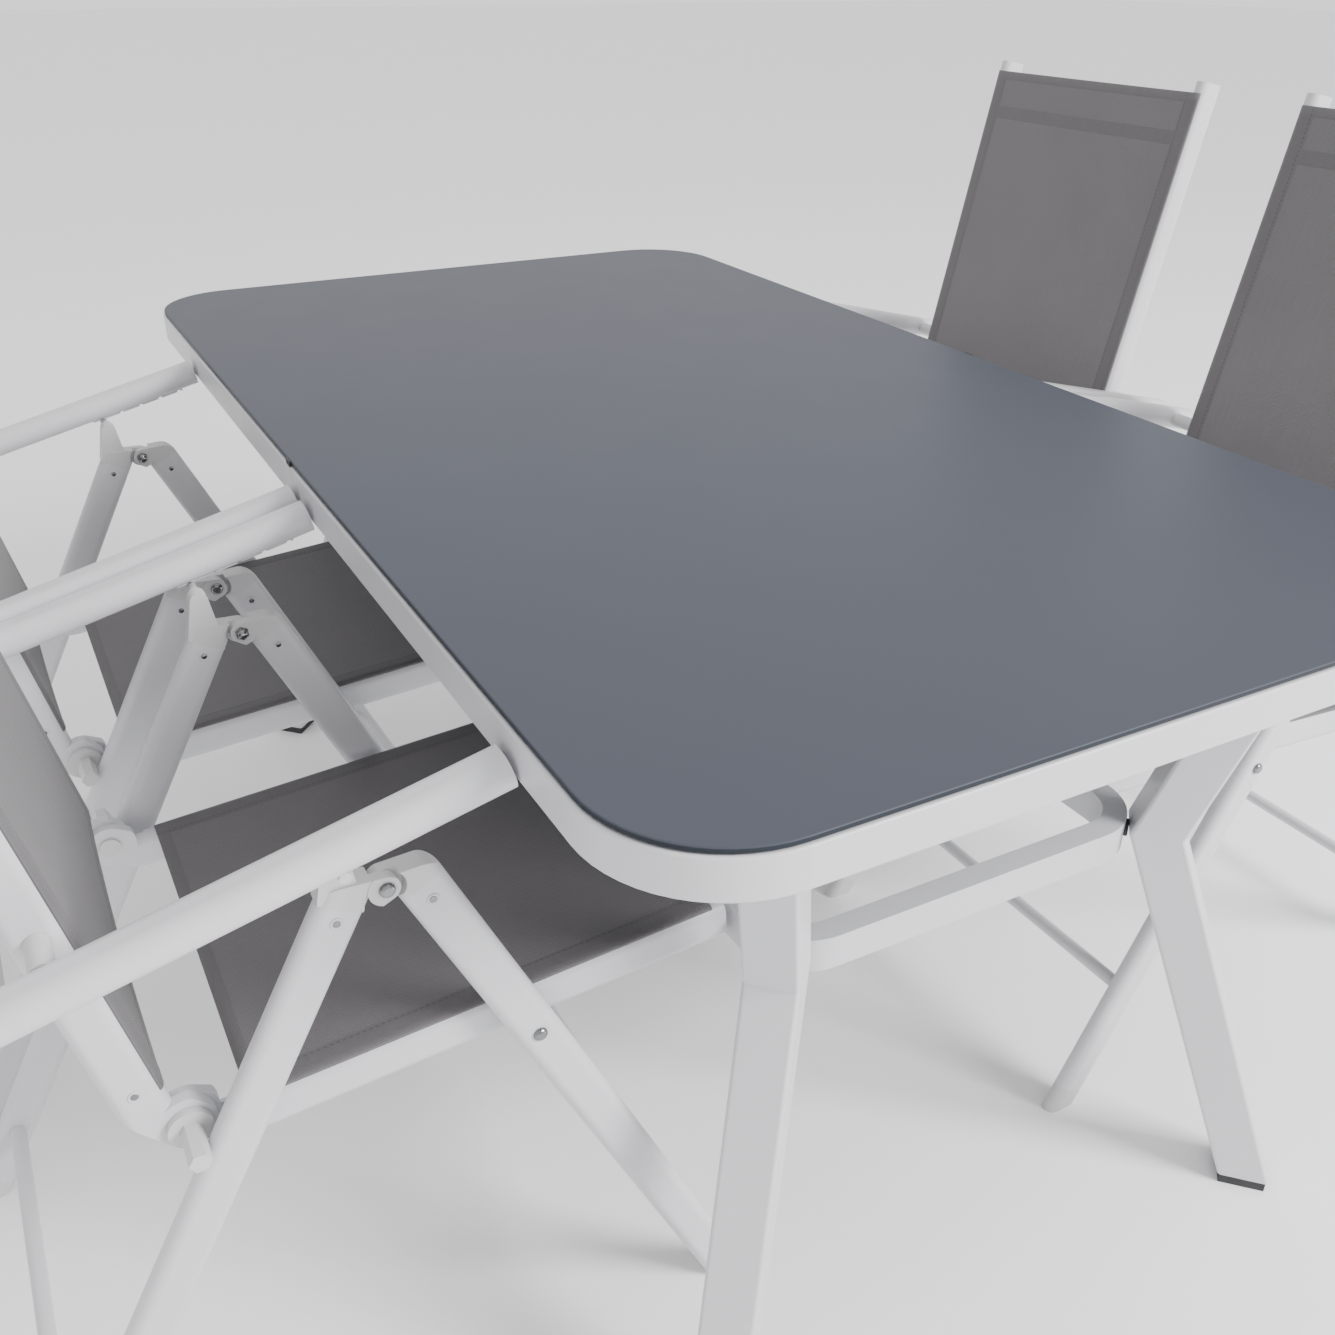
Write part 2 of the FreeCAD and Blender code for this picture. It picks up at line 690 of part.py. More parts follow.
def leg_outline(offset, overshoot):
    """Side outline of the bent leg at a distance either side of its centre line."""
    top, knee, foot = leg_stations()
    upper = Vector(top[0] - knee[0], top[1] - knee[1], 0).normalize()
    lower = Vector(knee[0] - foot[0], knee[1] - foot[1], 0).normalize()
    points = []
    for side in (1.0, -1.0):
        normal_u = Vector(upper.y, -upper.x, 0) * side
        normal_l = Vector(lower.y, -lower.x, 0) * side
        base_u = Vector(knee[0], knee[1], 0) + normal_u * offset
        base_l = Vector(knee[0], knee[1], 0) + normal_l * offset
        top_y = top[1] + overshoot
        foot_y = foot[1] - overshoot
        head = base_u + upper * ((top_y - base_u.y) / upper.y)
        toe = base_l + lower * ((foot_y - base_l.y) / lower.y)
        det = upper.x * lower.y - upper.y * lower.x
        gap = base_l - base_u
        step = (gap.x * lower.y - gap.y * lower.x) / det
        bend = base_u + upper * step
        points.append((head, bend, toe))
    left, right = points
    return [left[0], left[1], left[2], right[2], right[1], right[0]]


def polygon_sketch(body, label, role, points):
    sketch = sketch_in(body, label, role)
    count = len(points)
    for step in range(count):
        sketch.addGeometry(Part.LineSegment(points[step], points[(step + 1) % count]), False)
    for step in range(count):
        sketch.addConstraint(
            Sketcher.Constraint("Coincident", step, 2, (step + 1) % count, 1))
    for step in range(count):
        sketch.addConstraint(
            Sketcher.Constraint("DistanceX", -1, 1, step, 1, points[step].x))
        sketch.addConstraint(
            Sketcher.Constraint("DistanceY", -1, 1, step, 1, points[step].y))
    return sketch


derived("leg_bore_side", val("leg_side") - 2.0 * val("leg_wall"))


def build_table_leg(name, side_x, side_y):
    outer = new_body("leg_tube_" + name)
    sketch = polygon_sketch(outer, "leg_outline_" + name, "XZ_Plane",
                            leg_outline(val("leg_side") / 2.0, 0.0))
    solid = pad(outer, sketch, "leg_side", True)
    doc.recompute()
    long_edges = []
    for number, edge in enumerate(solid.Shape.Edges):
        box = edge.BoundBox
        if box.YLength < 1e-4 and box.ZLength > val("leg_side"):
            long_edges.append("Edge%d" % (number + 1))
    fillet_edges(outer, solid, long_edges, "leg_edge_round")
    bore = new_body("leg_bore_" + name)
    inner = polygon_sketch(bore, "leg_bore_outline_" + name, "XZ_Plane",
                           leg_outline(val("leg_bore_side") / 2.0, val("leg_side")))
    pad(bore, inner, "leg_bore_side", True)
    heading = math.degrees(math.atan2(side_y, side_x))
    place = Placement(Vector(side_x * val("leg_top_x"), side_y * val("leg_top_y"), 0),
                      Rotation(Vector(0, 0, 1), heading))
    outer.Placement = place
    bore.Placement = place
    return node("table_leg_" + name, [cut("leg_hollow_" + name, outer, bore)])


def corner_point(side_x, side_y, out, height):
    """Point in the diagonal plane of a leg."""
    return Vector(side_x * (val("leg_top_x") + out * diagonal),
                  side_y * (val("leg_top_y") + out * diagonal), height)


def build_leg_plates():
    plates = []
    for name, side_x, side_y in CORNERS:
        plate = doc.addObject("Part::Box", "leg_plate_" + name)
        plate.setExpression("Length", cell("leg_plate_side"))
        plate.setExpression("Width", cell("leg_plate_side"))
        plate.setExpression("Height", cell("leg_plate_thickness"))
        half = val("leg_plate_side") / 2.0
        centre = corner_point(side_x, side_y, 0.0, plate_z)
        plate.Placement = Placement(centre - Vector(half, half, 0), Rotation())
        plates.append(plate)
    return node("leg_plates", plates)


def build_leg_feet():
    feet = []
    side = val("leg_side") - 2.0 * val("foot_inset")
    for name, side_x, side_y in CORNERS:
        foot = doc.addObject("Part::Box", "leg_foot_" + name)
        foot.setExpression("Length", "%s - 2 * %s" % (cell("leg_side"), cell("foot_inset")))
        foot.setExpression("Width", "%s - 2 * %s" % (cell("leg_side"), cell("foot_inset")))
        foot.setExpression("Height", cell("foot_height"))
        centre = corner_point(side_x, side_y, val("leg_foot_out"), 0.0)
        heading = math.degrees(math.atan2(side_y, side_x))
        turn = Placement(centre, Rotation(Vector(0, 0, 1), heading))
        foot.Placement = turn.multiply(Placement(Vector(-side / 2.0, -side / 2.0, 0), Rotation()))
        feet.append(foot)
    return node("leg_feet", feet)


def build_leg_screws():
    screws = []
    reach = val("leg_plate_side") / 2.0 - val("bolt_head_radius") - 3.0
    for name, side_x, side_y in CORNERS:
        centre = corner_point(side_x, side_y, 0.0, plate_z)
        for number, step in enumerate((-1.0, 1.0)):
            spot = centre + Vector(step * reach * side_x, -step * reach * side_y, 0)
            head = cylinder("leg_bolt_%s_%d" % (name, number + 1), "bolt_head_radius",
                            val("bolt_head_thickness"),
                            spot - Vector(0, 0, val("bolt_head_thickness")), Vector(0, 0, 1))
            screws.append(head)
    return node("leg_screws", screws)


def ring_size():
    """Half extents of the stretcher ring, so that its corners face the knees."""
    knee_low = ring_face_out() - val("ring_leg_gap")
    bulge = val("ring_corner_radius") * (1.0 - diagonal)
    half_x = val("leg_top_x") + knee_low * diagonal + bulge
    half_y = val("leg_top_y") + knee_low * diagonal + bulge
    return half_x, half_y


def ring_face_out():
    """Outward distance of the leg's inner face where the ring passes it."""
    top, knee, foot = leg_stations()
    inner = leg_outline(val("leg_side") / 2.0, 0.0)
    bends = sorted((inner[1].x, inner[4].x))
    low = bends[0]
    return low


ring_half_x, ring_half_y = ring_size()
derived("ring_length", 2.0 * ring_half_y)
derived("ring_width", 2.0 * ring_half_x)
derived("ring_core_height", val("ring_tube_height") - 2.0 * val("ring_tube_wall"))
derived("ring_through", 3.0 * val("ring_tube_height"))
doc.recompute()


def build_ring():
    low = val("ring_center_height") - val("ring_tube_height") / 2.0
    depth = val("ring_tube_depth")
    wall = val("ring_tube_wall")
    outer = rounded_slab("ring_outer", 0.0, "ring_tube_height", low, "ring_corner_radius",
                         "ring_length", "ring_width")
    inner = rounded_slab("ring_inner", depth, "ring_through", low - val("ring_tube_height"),
                         "ring_corner_radius", "ring_length", "ring_width")
    core_outer = rounded_slab("ring_core_outer", wall, "ring_core_height", low + wall,
                              "ring_corner_radius", "ring_length", "ring_width")
    core_inner = rounded_slab("ring_core_inner", depth - wall, "ring_through",
                              low - val("ring_tube_height"), "ring_corner_radius",
                              "ring_length", "ring_width")
    ring = cut("ring_solid", outer, inner)
    core = cut("ring_core", core_outer, core_inner)
    halves = []
    for name, side in (("near", -1.0), ("far", 1.0)):
        tube = cut("ring_tube_" + name, ring, core)
        block = doc.addObject("Part::Box", "ring_block_" + name)
        span_x = val("table_width")
        span_y = val("table_length")
        block.Length = span_x
        block.Width = span_y
        block.Height = val("table_height")
        start_y = 0.0 if side > 0 else -span_y
        block.Placement = Placement(Vector(-span_x / 2.0, start_y, 0), Rotation())
        half = doc.addObject("Part::Common", "ring_half_" + name)
        half.Base = tube
        half.Tool = block
        halves.append(half)
    return node("stretcher_ring", halves)


def build_ring_spacers():
    """Dark rubber washers that stand between the ring and the legs."""
    spacers = []
    face = ring_face_out()
    for name, side_x, side_y in CORNERS:
        start = corner_point(side_x, side_y, face - val("ring_leg_gap"), val("ring_center_height"))
        out = Vector(side_x, side_y, 0).normalize()
        spacers.append(cylinder("ring_spacer_" + name, "pad_radius", val("ring_leg_gap"),
                                start, out))
    return spacers


# ---------------------------------------------------------------- chair pieces
def front_leg_pieces():
    tube = oval_tube("front_tube", "front_leg_run", "tube_core", "half_tube_thickness",
                     "tube_bore")
    doc.recompute()
    cross_hole(tube, None, "front_pivot_on_tube", "screw_hole_radius", "front_tube_pivot_hole")
    tube.Placement = axis_frame(shift_y(front_top, val("leg_center_y")), front_down,
                                side_width(front_down))
    bar = round_tube("front_bar", "leg_bar_run", "cross_tube_diameter", "cross_bore")
    spot = at_height(front_ref, front_down, val("front_bar_height"))
    bar.Placement = axis_frame(shift_y(spot, -leg_in), Vector(0, 1, 0), Vector(1, 0, 0))
    return [tube, mirrored(tube), bar]


def rear_leg_pieces():
    tube = oval_tube("rear_tube", "rear_leg_run", "tube_core", "half_tube_thickness", "tube_bore")
    tube.Placement = axis_frame(shift_y(rear_top, val("leg_center_y")), rear_down,
                                side_width(rear_down))
    bar = round_tube("rear_bar", "leg_bar_run", "cross_tube_diameter", "cross_bore")
    spot = at_height(rear_ref, rear_down, val("rear_bar_height"))
    bar.Placement = axis_frame(shift_y(spot, -leg_in), Vector(0, 1, 0), Vector(1, 0, 0))
    return [tube, mirrored(tube), bar]


def foot_cap(label, bottom, down):
    """Plastic shoe: a plug in the tube and an end cut level with the floor."""
    reach = bottom.z / -down.z + val("tube_width")
    derived(label + "_shoe_run", reach)
    doc.recompute()
    shoe = oval_tube(label + "_shoe", label + "_shoe_run", "tube_core", "half_tube_thickness", None)
    y_mid = val("leg_center_y")
    shoe.Placement = axis_frame(shift_y(bottom, y_mid), down, side_width(down))
    floor = doc.addObject("Part::Box", label + "_floor")
    size = 6.0 * val("tube_width")
    floor.Length = size
    floor.Width = size
    floor.Height = size
    floor.Placement = Placement(Vector(bottom.x - size / 2.0, y_mid - size / 2.0, -size), Rotation())
    level = cut(label + "_level", shoe, floor)
    plug = tube_plug(label + "_plug", bottom, down * -1.0, y_mid, 3.0)
    return fuse(label, [level, plug])


def hinge_head(label, top, down, outer_half):
    """Fitting from a leg tube's end to its half of the hinge lap at the top."""
    y_mid = val("leg_center_y")
    body = tapered_link(label + "_link", top, hinge, "half_tube_width", "hinge_ear_radius",
                        leg_in, leg_out)
    trimmed = casting(label, body, top, down, y_mid, hinge, "hinge_boss_radius", leg_in, leg_out)
    gap = val("face_gap") / 2.0
    if outer_half:
        low, high = leg_in - 1.0, y_mid + gap
    else:
        low, high = y_mid - gap, leg_out + 1.0
    recess = y_cylinder(label + "_recess", "hinge_recess_radius", hinge, low, high)
    lapped = cut(label + "_lapped", trimmed, recess)
    drill = y_cylinder(label + "_drill", "screw_hole_radius", hinge, leg_in - 1.0, leg_out + 1.0)
    return cut(label + "_drilled", lapped, drill)


def front_fitting_pieces():
    head = hinge_head("front_head", front_top, front_down, False)
    plug = tube_plug("front_head_plug", front_top, front_down, val("leg_center_y"), 3.0)
    fitting = fuse("front_fitting", [head, plug])
    shoe = foot_cap("front_foot", front_bottom, front_down)
    outer = y_cylinder("spacer_outer", "spacer_radius", seat_pivot, rail_out + val("face_gap"),
                       leg_in)
    bore = y_cylinder("spacer_bore", "screw_hole_radius", seat_pivot, rail_out - 1.0, leg_in + 1.0)
    spacer = cut("pivot_spacer", outer, bore)
    pieces = [fitting, shoe, spacer]
    return pieces + [mirrored(piece) for piece in pieces]


def rear_fitting_pieces():
    head = hinge_head("rear_head", rear_top, rear_down, True)
    plug = tube_plug("rear_head_plug", rear_top, rear_down, val("leg_center_y"), 3.0)
    inset = 2.0
    root = rear_top + rear_down * 2.0
    horn = tapered_link("horn", root, latch_point, "horn_root_radius", "horn_tip_radius",
                        leg_in + inset, leg_out - inset)
    stub = half_space("horn_tube_side", rear_top, rear_down, val("leg_center_y"))
    horn_trimmed = cut("horn_trimmed", horn, stub)
    latch_end = val("arm_center_y") + val("arm_width") / 2.0 - val("arm_depth") / 2.0
    latch = y_cylinder("latch_pin", "latch_radius", latch_point, val("leg_center_y"), latch_end)
    fitting = fuse("rear_fitting", [head, plug, horn_trimmed, latch])
    shoe = foot_cap("rear_foot", rear_bottom, rear_down)
    pieces = [fitting, shoe]
    return pieces + [mirrored(piece) for piece in pieces]


def screw_pieces():
    """Chrome pivot screws with their nuts: leg hinge and seat pivot."""
    pieces = []
    for label, point, low, grip_in in (
            ("hinge_screw", hinge, leg_in, leg_in - val("face_gap")),
            ("seat_screw", seat_pivot, rail_in, rail_in - val("face_gap"))):
        head_t = val("screw_head_thickness")
        shaft = y_cylinder(label + "_shaft", "screw_radius", point, grip_in - head_t, leg_out)
        head = y_cylinder(label + "_head", "screw_head_radius", point, leg_out, leg_out + head_t)
        nut = y_cylinder(label + "_nut", "screw_head_radius", point, grip_in - head_t, grip_in)
        pieces.append(fuse(label, [shaft, head, nut]))
    return pieces + [mirrored(piece) for piece in pieces]


def hub_ear(label, end, toward_end, inner_half):
    """Casting from a rail's end to its half of the hub at the recline pivot."""
    y_mid = val("rail_center_y")
    body = tapered_link(label + "_link", recline_pivot, end, "hub_ear_radius", "half_tube_width",
                        rail_in, rail_out)
    trimmed = casting(label, body, end, toward_end, y_mid, recline_pivot, "hub_boss_radius",
                      rail_in, rail_out)
    gap = val("face_gap") / 2.0
    if inner_half:
        low, high = y_mid - gap, rail_out + 1.0
    else:
        low, high = rail_in - 1.0, y_mid + gap
    recess = y_cylinder(label + "_recess", "hub_recess_radius", recline_pivot, low, high)
    lapped = cut(label + "_lapped", trimmed, recess)
    drill = y_cylinder(label + "_drill", "hub_hole_radius", recline_pivot, rail_in - 1.0,
                       rail_out + 1.0)
    drilled = cut(label + "_drilled", lapped, drill)
    plug = tube_plug(label + "_plug", end, toward_end, y_mid, 3.0)
    return fuse(label, [drilled, plug])


def end_cap(label, end, outward, y_mid):
    """Short plastic cap on an open tube end, with its plug."""
    cap = oval_tube(label + "_cap", "end_cap_length", "tube_core", "half_tube_thickness", None)
    cap.Placement = axis_frame(shift_y(end, y_mid), outward, side_width(outward))
    plug = tube_plug(label + "_plug", end, outward * -1.0, y_mid, 3.0)
    return fuse(label, [cap, plug])


def cross_bar(label, spot):
    bar = round_tube(label, "seat_bar_run", "cross_tube_diameter", "cross_bore")
    bar.Placement = axis_frame(shift_y(spot, -rail_in), Vector(0, 1, 0), Vector(1, 0, 0))
    return bar


def seat_pieces():
    rail = oval_tube("seat_rail", "seat_rail_run", "tube_core", "half_tube_thickness", "tube_bore")
    doc.recompute()
    derived("seat_hole_across", -seat_pivot_drop)
    doc.recompute()
    cross_hole(rail, "seat_hole_across", "seat_pivot_along", "screw_hole_radius", "seat_rail_hole")
    rail.Placement = axis_frame(shift_y(seat_rear, val("rail_center_y")), seat_dir,
                                side_width(seat_dir))
    ear = hub_ear("seat_ear", seat_rear, seat_dir, True)
    cap = end_cap("seat_cap", seat_front, seat_dir, val("rail_center_y"))
    front_bar = cross_bar("seat_bar_a", seat_front - seat_dir * val("seat_bar_front"))
    rear_bar = cross_bar("seat_bar_b", seat_front - seat_dir * val("seat_bar_rear"))
    sides = [rail, ear, cap]
    return sides + [mirrored(piece) for piece in sides] + [front_bar, rear_bar]


def back_pieces():
    tube = oval_tube("back_tube", "back_tube_length", "tube_core", "half_tube_thickness",
                     "tube_bore")
    doc.recompute()
    cross_hole(tube, None, "arm_pivot_on_tube", "bush_hole_radius", "back_tube_hole")
    tube.Placement = axis_frame(shift_y(back_low, val("rail_center_y")), back_dir,
                                side_width(back_dir))
    ear = hub_ear("back_ear", back_low, back_dir, False)
    cap = end_cap("back_cap", back_high, back_dir, val("rail_center_y"))
    low_bar = cross_bar("back_bar_a", back_base + back_dir * val("back_bar_low"))
    high_bar = cross_bar("back_bar_b", back_base + back_dir * val("back_bar_high"))
    sides = [tube, ear, cap]
    return sides + [mirrored(piece) for piece in sides] + [low_bar, high_bar]


def hub_pieces():
    """Pivot shaft, outer cap and hexagonal stop pin that bears on the rear leg."""
    gap = val("face_gap")
    head_low = rail_in - gap - val("screw_head_thickness")
    cap_low = rail_out + gap
    cap_high = cap_low + val("hub_cap_thickness")
    shaft = y_cylinder("hub_shaft", "hub_shaft_radius", recline_pivot, head_low, cap_high)
    head = y_cylinder("hub_head", "spacer_radius", recline_pivot, head_low, rail_in - gap)
    cap = y_cylinder("hub_cap", "hub_cap_radius", recline_pivot, cap_low, cap_high)
    pin = doc.addObject("Part::Prism", "hub_pin")
    pin.Polygon = 6
    pin.setExpression("Circumradius", cell("hub_pin_corner"))
    pin.setExpression("Height", cell("hub_pin_reach"))
    pin.Placement = Placement(shift_y(recline_pivot, cap_high),
                              Rotation(Vector(0, 0, 1), Vector(0, 1, 0)))
    hub = fuse("pivot_hub", [shaft, head, cap, pin])
    return [hub, mirrored(hub)]


def bush_pieces():
    gap = val("face_gap")
    head_low = rail_in - gap - val("screw_head_thickness")
    shaft = y_cylinder("bush_shaft", "bush_shaft_radius", arm_pivot, head_low,
                       arm_in + val("bush_reach"))
    head = y_cylinder("bush_head", "bush_sleeve_radius", arm_pivot, head_low, rail_in - gap)
    sleeve = y_cylinder("bush_sleeve", "bush_sleeve_radius", arm_pivot, rail_out + gap,
                        arm_in - gap)
    bush = fuse("arm_bush", [shaft, head, sleeve])
    return [bush, mirrored(bush)]


def arm_pieces():
    y_mid = val("arm_center_y")
    rear = arm_pivot - arm_dir * val("arm_rear_overhang")
    front = rear + arm_dir * val("arm_run")
    tube = oval_tube("arm_tube", "arm_run", "arm_core", "arm_round", "arm_bore")
    tube.Placement = axis_frame(shift_y(rear, y_mid), arm_dir, Vector(0, 1, 0))
    drill = y_cylinder("arm_drill", "bush_hole_radius", arm_pivot, arm_in - 1.0, y_mid)
    arm = cut("arm_drilled", tube, drill)
    block_run = val("arm_rear_overhang") + 3.0 * val("bush_shaft_radius")
    derived("arm_block_run", block_run + 3.0)
    derived("arm_plug_run", val("plug_depth") + 3.0)
    doc.recompute()
    block = oval_tube("arm_block", "arm_block_run", "arm_core", "arm_plug", None)
    block.Placement = axis_frame(shift_y(rear - arm_dir * 3.0, y_mid), arm_dir, Vector(0, 1, 0))
    rear_cap = oval_tube("arm_rear_cap", "arm_cap_length", "arm_core", "arm_round", None)
    rear_cap.Placement = axis_frame(shift_y(rear, y_mid), arm_dir * -1.0, Vector(0, 1, 0))
    rear_solid = fuse("arm_rear_solid", [block, rear_cap])
    depth = arm_in + val("bush_reach") + val("face_gap")
    bore = y_cylinder("arm_block_bore", "bush_hole_radius", arm_pivot, arm_in - 1.0, depth)
    rear_piece = cut("arm_rear_piece", rear_solid, bore)
    plug = oval_tube("arm_front_plug", "arm_plug_run", "arm_core", "arm_plug", None)
    plug.Placement = axis_frame(shift_y(front + arm_dir * 3.0, y_mid), arm_dir * -1.0,
                                Vector(0, 1, 0))
    front_cap = oval_tube("arm_front_cap", "arm_cap_length", "arm_core", "arm_round", None)
    front_cap.Placement = axis_frame(shift_y(front, y_mid), arm_dir, Vector(0, 1, 0))
    front_piece = fuse("arm_front_piece", [plug, front_cap])
    pieces = [arm, rear_piece, front_piece, rack_piece()]
    return pieces + [mirrored(piece) for piece in pieces]


def rack_piece():
    """Notched strip under the armrest that the latch pin holds up."""
    width = val("arm_width") - val("arm_depth")
    strip = doc.addObject("Part::Box", "rack_strip")
    strip.setExpression("Length", "%s - %s" % (cell("rack_end"), cell("rack_start")))
    strip.Width = width
    strip.setExpression("Height", cell("rack_thickness"))
    drop = val("arm_depth") / 2.0 + val("rack_thickness")
    start = arm_pivot + arm_dir * val("rack_start") - arm_up * drop
    turn = Rotation(arm_dir, Vector(0, 1, 0), arm_up, "XZY")
    strip.Placement = Placement(shift_y(start, val("arm_center_y") - width / 2.0), turn)
    result = strip
    count = 5
    first = val("latch_along")
    last = val("rack_end") - 2.0 * val("rack_notch_radius")
    for number in range(count):
        along = first + (last - first) * number / (count - 1.0)
        spot = arm_pivot + arm_dir * along - arm_up * (drop + val("latch_gap"))
        notch = y_cylinder("rack_notch_%d" % number, "rack_notch_radius", spot,
                           val("arm_center_y") - width, val("arm_center_y") + width)
        result = cut("rack_cut_%d" % number, result, notch)
    return result


def sling_plate(label, start, along, up, length):
    """Plain closed panel between two rails."""
    plate = doc.addObject("Part::Box", label)
    plate.Length = length
    width = 2.0 * (rail_in - val("sling_side_gap"))
    plate.Width = width
    plate.setExpression("Height", cell("sling_thickness"))
    turn = Rotation(along, Vector(0, 1, 0), up, "XZY")
    corner = start + up * val("sling_rise")
    plate.Placement = Placement(shift_y(corner, -width / 2.0 if up.cross(along).y > 0
                                        else width / 2.0), turn)
    return plate


def sling_pieces():
    seat_start = seat_front - seat_dir * val("seat_sling_rear")
    seat_length = val("seat_sling_rear") - val("seat_sling_front")
    seat = sling_plate("seat_panel", seat_start, seat_dir, seat_up, seat_length)
    back_start = back_base + back_dir * val("back_sling_low")
    back_length = val("back_sling_high") - val("back_sling_low")
    back = sling_plate("back_panel", back_start, back_dir, back_rear * -1.0, back_length)
    return seat, back


# ---------------------------------------------------------------- assembly
def build_table():
    rubber = node("rubber_pads", build_glass_pads() + build_ring_spacers())
    nodes = [build_glass(), build_apron(), build_cross_rails(), rubber]
    for name, side_x, side_y in CORNERS:
        nodes.append(build_table_leg(name, side_x, side_y))
    nodes.extend([build_leg_plates(), build_leg_feet(), build_leg_screws(), build_ring()])
    return nodes


def build_chairs():
    """Four chairs that share one set of pieces, each node placed at its seat."""
    seat_sling, back_sling = sling_pieces()
    groups = (
        ("front_leg_frame", front_leg_pieces()),
        ("front_leg_fittings", front_fitting_pieces()),
        ("pivot_screws", screw_pieces()),
        ("rear_leg_frame", rear_leg_pieces()),
        ("rear_leg_fittings", rear_fitting_pieces()),
        ("seat_frame", seat_pieces()),
        ("seat_sling", [seat_sling]),
        ("pivot_hubs", hub_pieces()),
        ("back_frame", back_pieces()),
        ("back_sling", [back_sling]),
        ("arm_bushes", bush_pieces()),
        ("armrests", arm_pieces()),
    )
    nodes = []
    for chair, side, row in CHAIRS:
        turn = 0.0 if side < 0 else 180.0
        for name, pieces in groups:
            group = node(chair + "_" + name, pieces)
            group.Placement = Placement(Vector(0, val(row), 0), Rotation(Vector(0, 0, 1), turn))
            nodes.append(group)
    return nodes


def check_document():
    """Stop if any feature failed."""
    for item in doc.Objects:
        if "Invalid" in item.State or "Error" in item.State:
            raise RuntimeError("feature failed: " + item.Label + " " + str(item.State))


def write_parts(nodes):
    os.makedirs("parts", exist_ok=True)
    for item in nodes:
        shape = item.Shape
        if shape.isNull() or not shape.isValid() or len(shape.Solids) == 0:
            raise RuntimeError("bad shape: " + item.Label)
        shape.exportStep("parts/" + item.Label + ".step")
        box = shape.BoundBox
        print("%-34s solids %2d  volume %.0f  z %.1f..%.1f" % (
            item.Label, len(shape.Solids), shape.Volume, box.ZMin, box.ZMax))


all_nodes = build_table() + build_chairs()
doc.recompute()
check_document()
write_parts(all_nodes)
print("nodes", len(all_nodes))
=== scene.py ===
"""Finishes, cloth and small fixings for a patio dining set with four folding sling chairs."""
import json
import math

import bmesh
import bpy
from mathutils import Matrix, Vector


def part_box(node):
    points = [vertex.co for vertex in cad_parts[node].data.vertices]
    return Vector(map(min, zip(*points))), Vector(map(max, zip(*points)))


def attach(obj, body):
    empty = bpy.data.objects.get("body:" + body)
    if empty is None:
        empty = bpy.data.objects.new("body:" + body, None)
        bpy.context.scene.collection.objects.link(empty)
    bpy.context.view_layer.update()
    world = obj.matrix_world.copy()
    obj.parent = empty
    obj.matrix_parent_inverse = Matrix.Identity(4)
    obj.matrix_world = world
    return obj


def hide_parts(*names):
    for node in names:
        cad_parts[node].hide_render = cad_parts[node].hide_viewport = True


bl_info = {
    "name": "Patio Dining Set",
    "version": (1, 0, 0),
    "blender": (4, 5, 0),
    "location": "View3D > Sidebar > Patio Set",
    "description": "Slings, screws, trims and finishes for a patio table and folding chairs",
    "category": "Object",
}

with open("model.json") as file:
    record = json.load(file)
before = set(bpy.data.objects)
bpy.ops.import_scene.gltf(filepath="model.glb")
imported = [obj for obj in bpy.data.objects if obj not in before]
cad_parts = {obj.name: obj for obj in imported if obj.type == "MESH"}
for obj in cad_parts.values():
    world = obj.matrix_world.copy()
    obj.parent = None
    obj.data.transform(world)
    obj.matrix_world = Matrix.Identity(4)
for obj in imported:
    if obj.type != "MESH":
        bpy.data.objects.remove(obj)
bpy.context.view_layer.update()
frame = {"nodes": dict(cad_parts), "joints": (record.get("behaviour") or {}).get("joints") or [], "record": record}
MM = 0.001
CHAIRS = ("chair_a", "chair_b", "chair_c", "chair_d")
SIDEWAYS = Vector((0.0, 1.0, 0.0))

# Cloth: where it lies on the rails and how it ends
SLING_RISE = 9.0 * MM           # panel's lower face above the rail's axis
TUBE_HALF_WIDTH = 19.0 * MM
TUBE_HALF_THICK = 10.0 * MM     # also the radius of a rail's rounded crown
SIDE_GAP = 0.6 * MM             # panel's edge to the rail
CLOTH_GAP = 0.6 * MM            # middle of the cloth off the rail
HEM_LIP = 0.9 * MM              # run of the step at a hem
HEM_LIFT = 0.4                  # rise of a doubled strip, in cloth thicknesses
TUCK_ANGLE = math.radians(8.0)  # last turn, where the edge dips into the rail
TUCK_DEPTH = 0.6 * MM
ACROSS_STEP = 16.0 * MM         # mesh steps across, over the crown and along
CROWN_STEP = 1.3 * MM
ALONG_STEP = 14.0 * MM
END_HOLD = 0.2                  # share of the sag that both ends take away
BACK_SEAM_DROP = 59.0 * MM      # doubled band below the top edge of the backrest
BACK_SEAM_HALF = 9.0 * MM

# Tubes of a chair: leans, and each tube's middle line off its pivot
FRONT_LEAN = math.radians(25.0)
REAR_LEAN = math.radians(28.2)
FRONT_OFFSET = 21.2 * MM
REAR_OFFSET = 26.2 * MM
SEAT_OFFSET = 20.0 * MM
BACK_OFFSET = 22.0 * MM

# Screws: distances along the tubes, and faces measured from the chair's middle
SCREW_DROP = 33.0 * MM
RAIL_SCREW = 50.0 * MM
SCREW_HEAD = 2.5 * MM
LEG_OUTER = 237.0 * MM
LEG_INNER = 217.0 * MM
RAIL_OUTER = 206.0 * MM
RAIL_INNER = 186.0 * MM


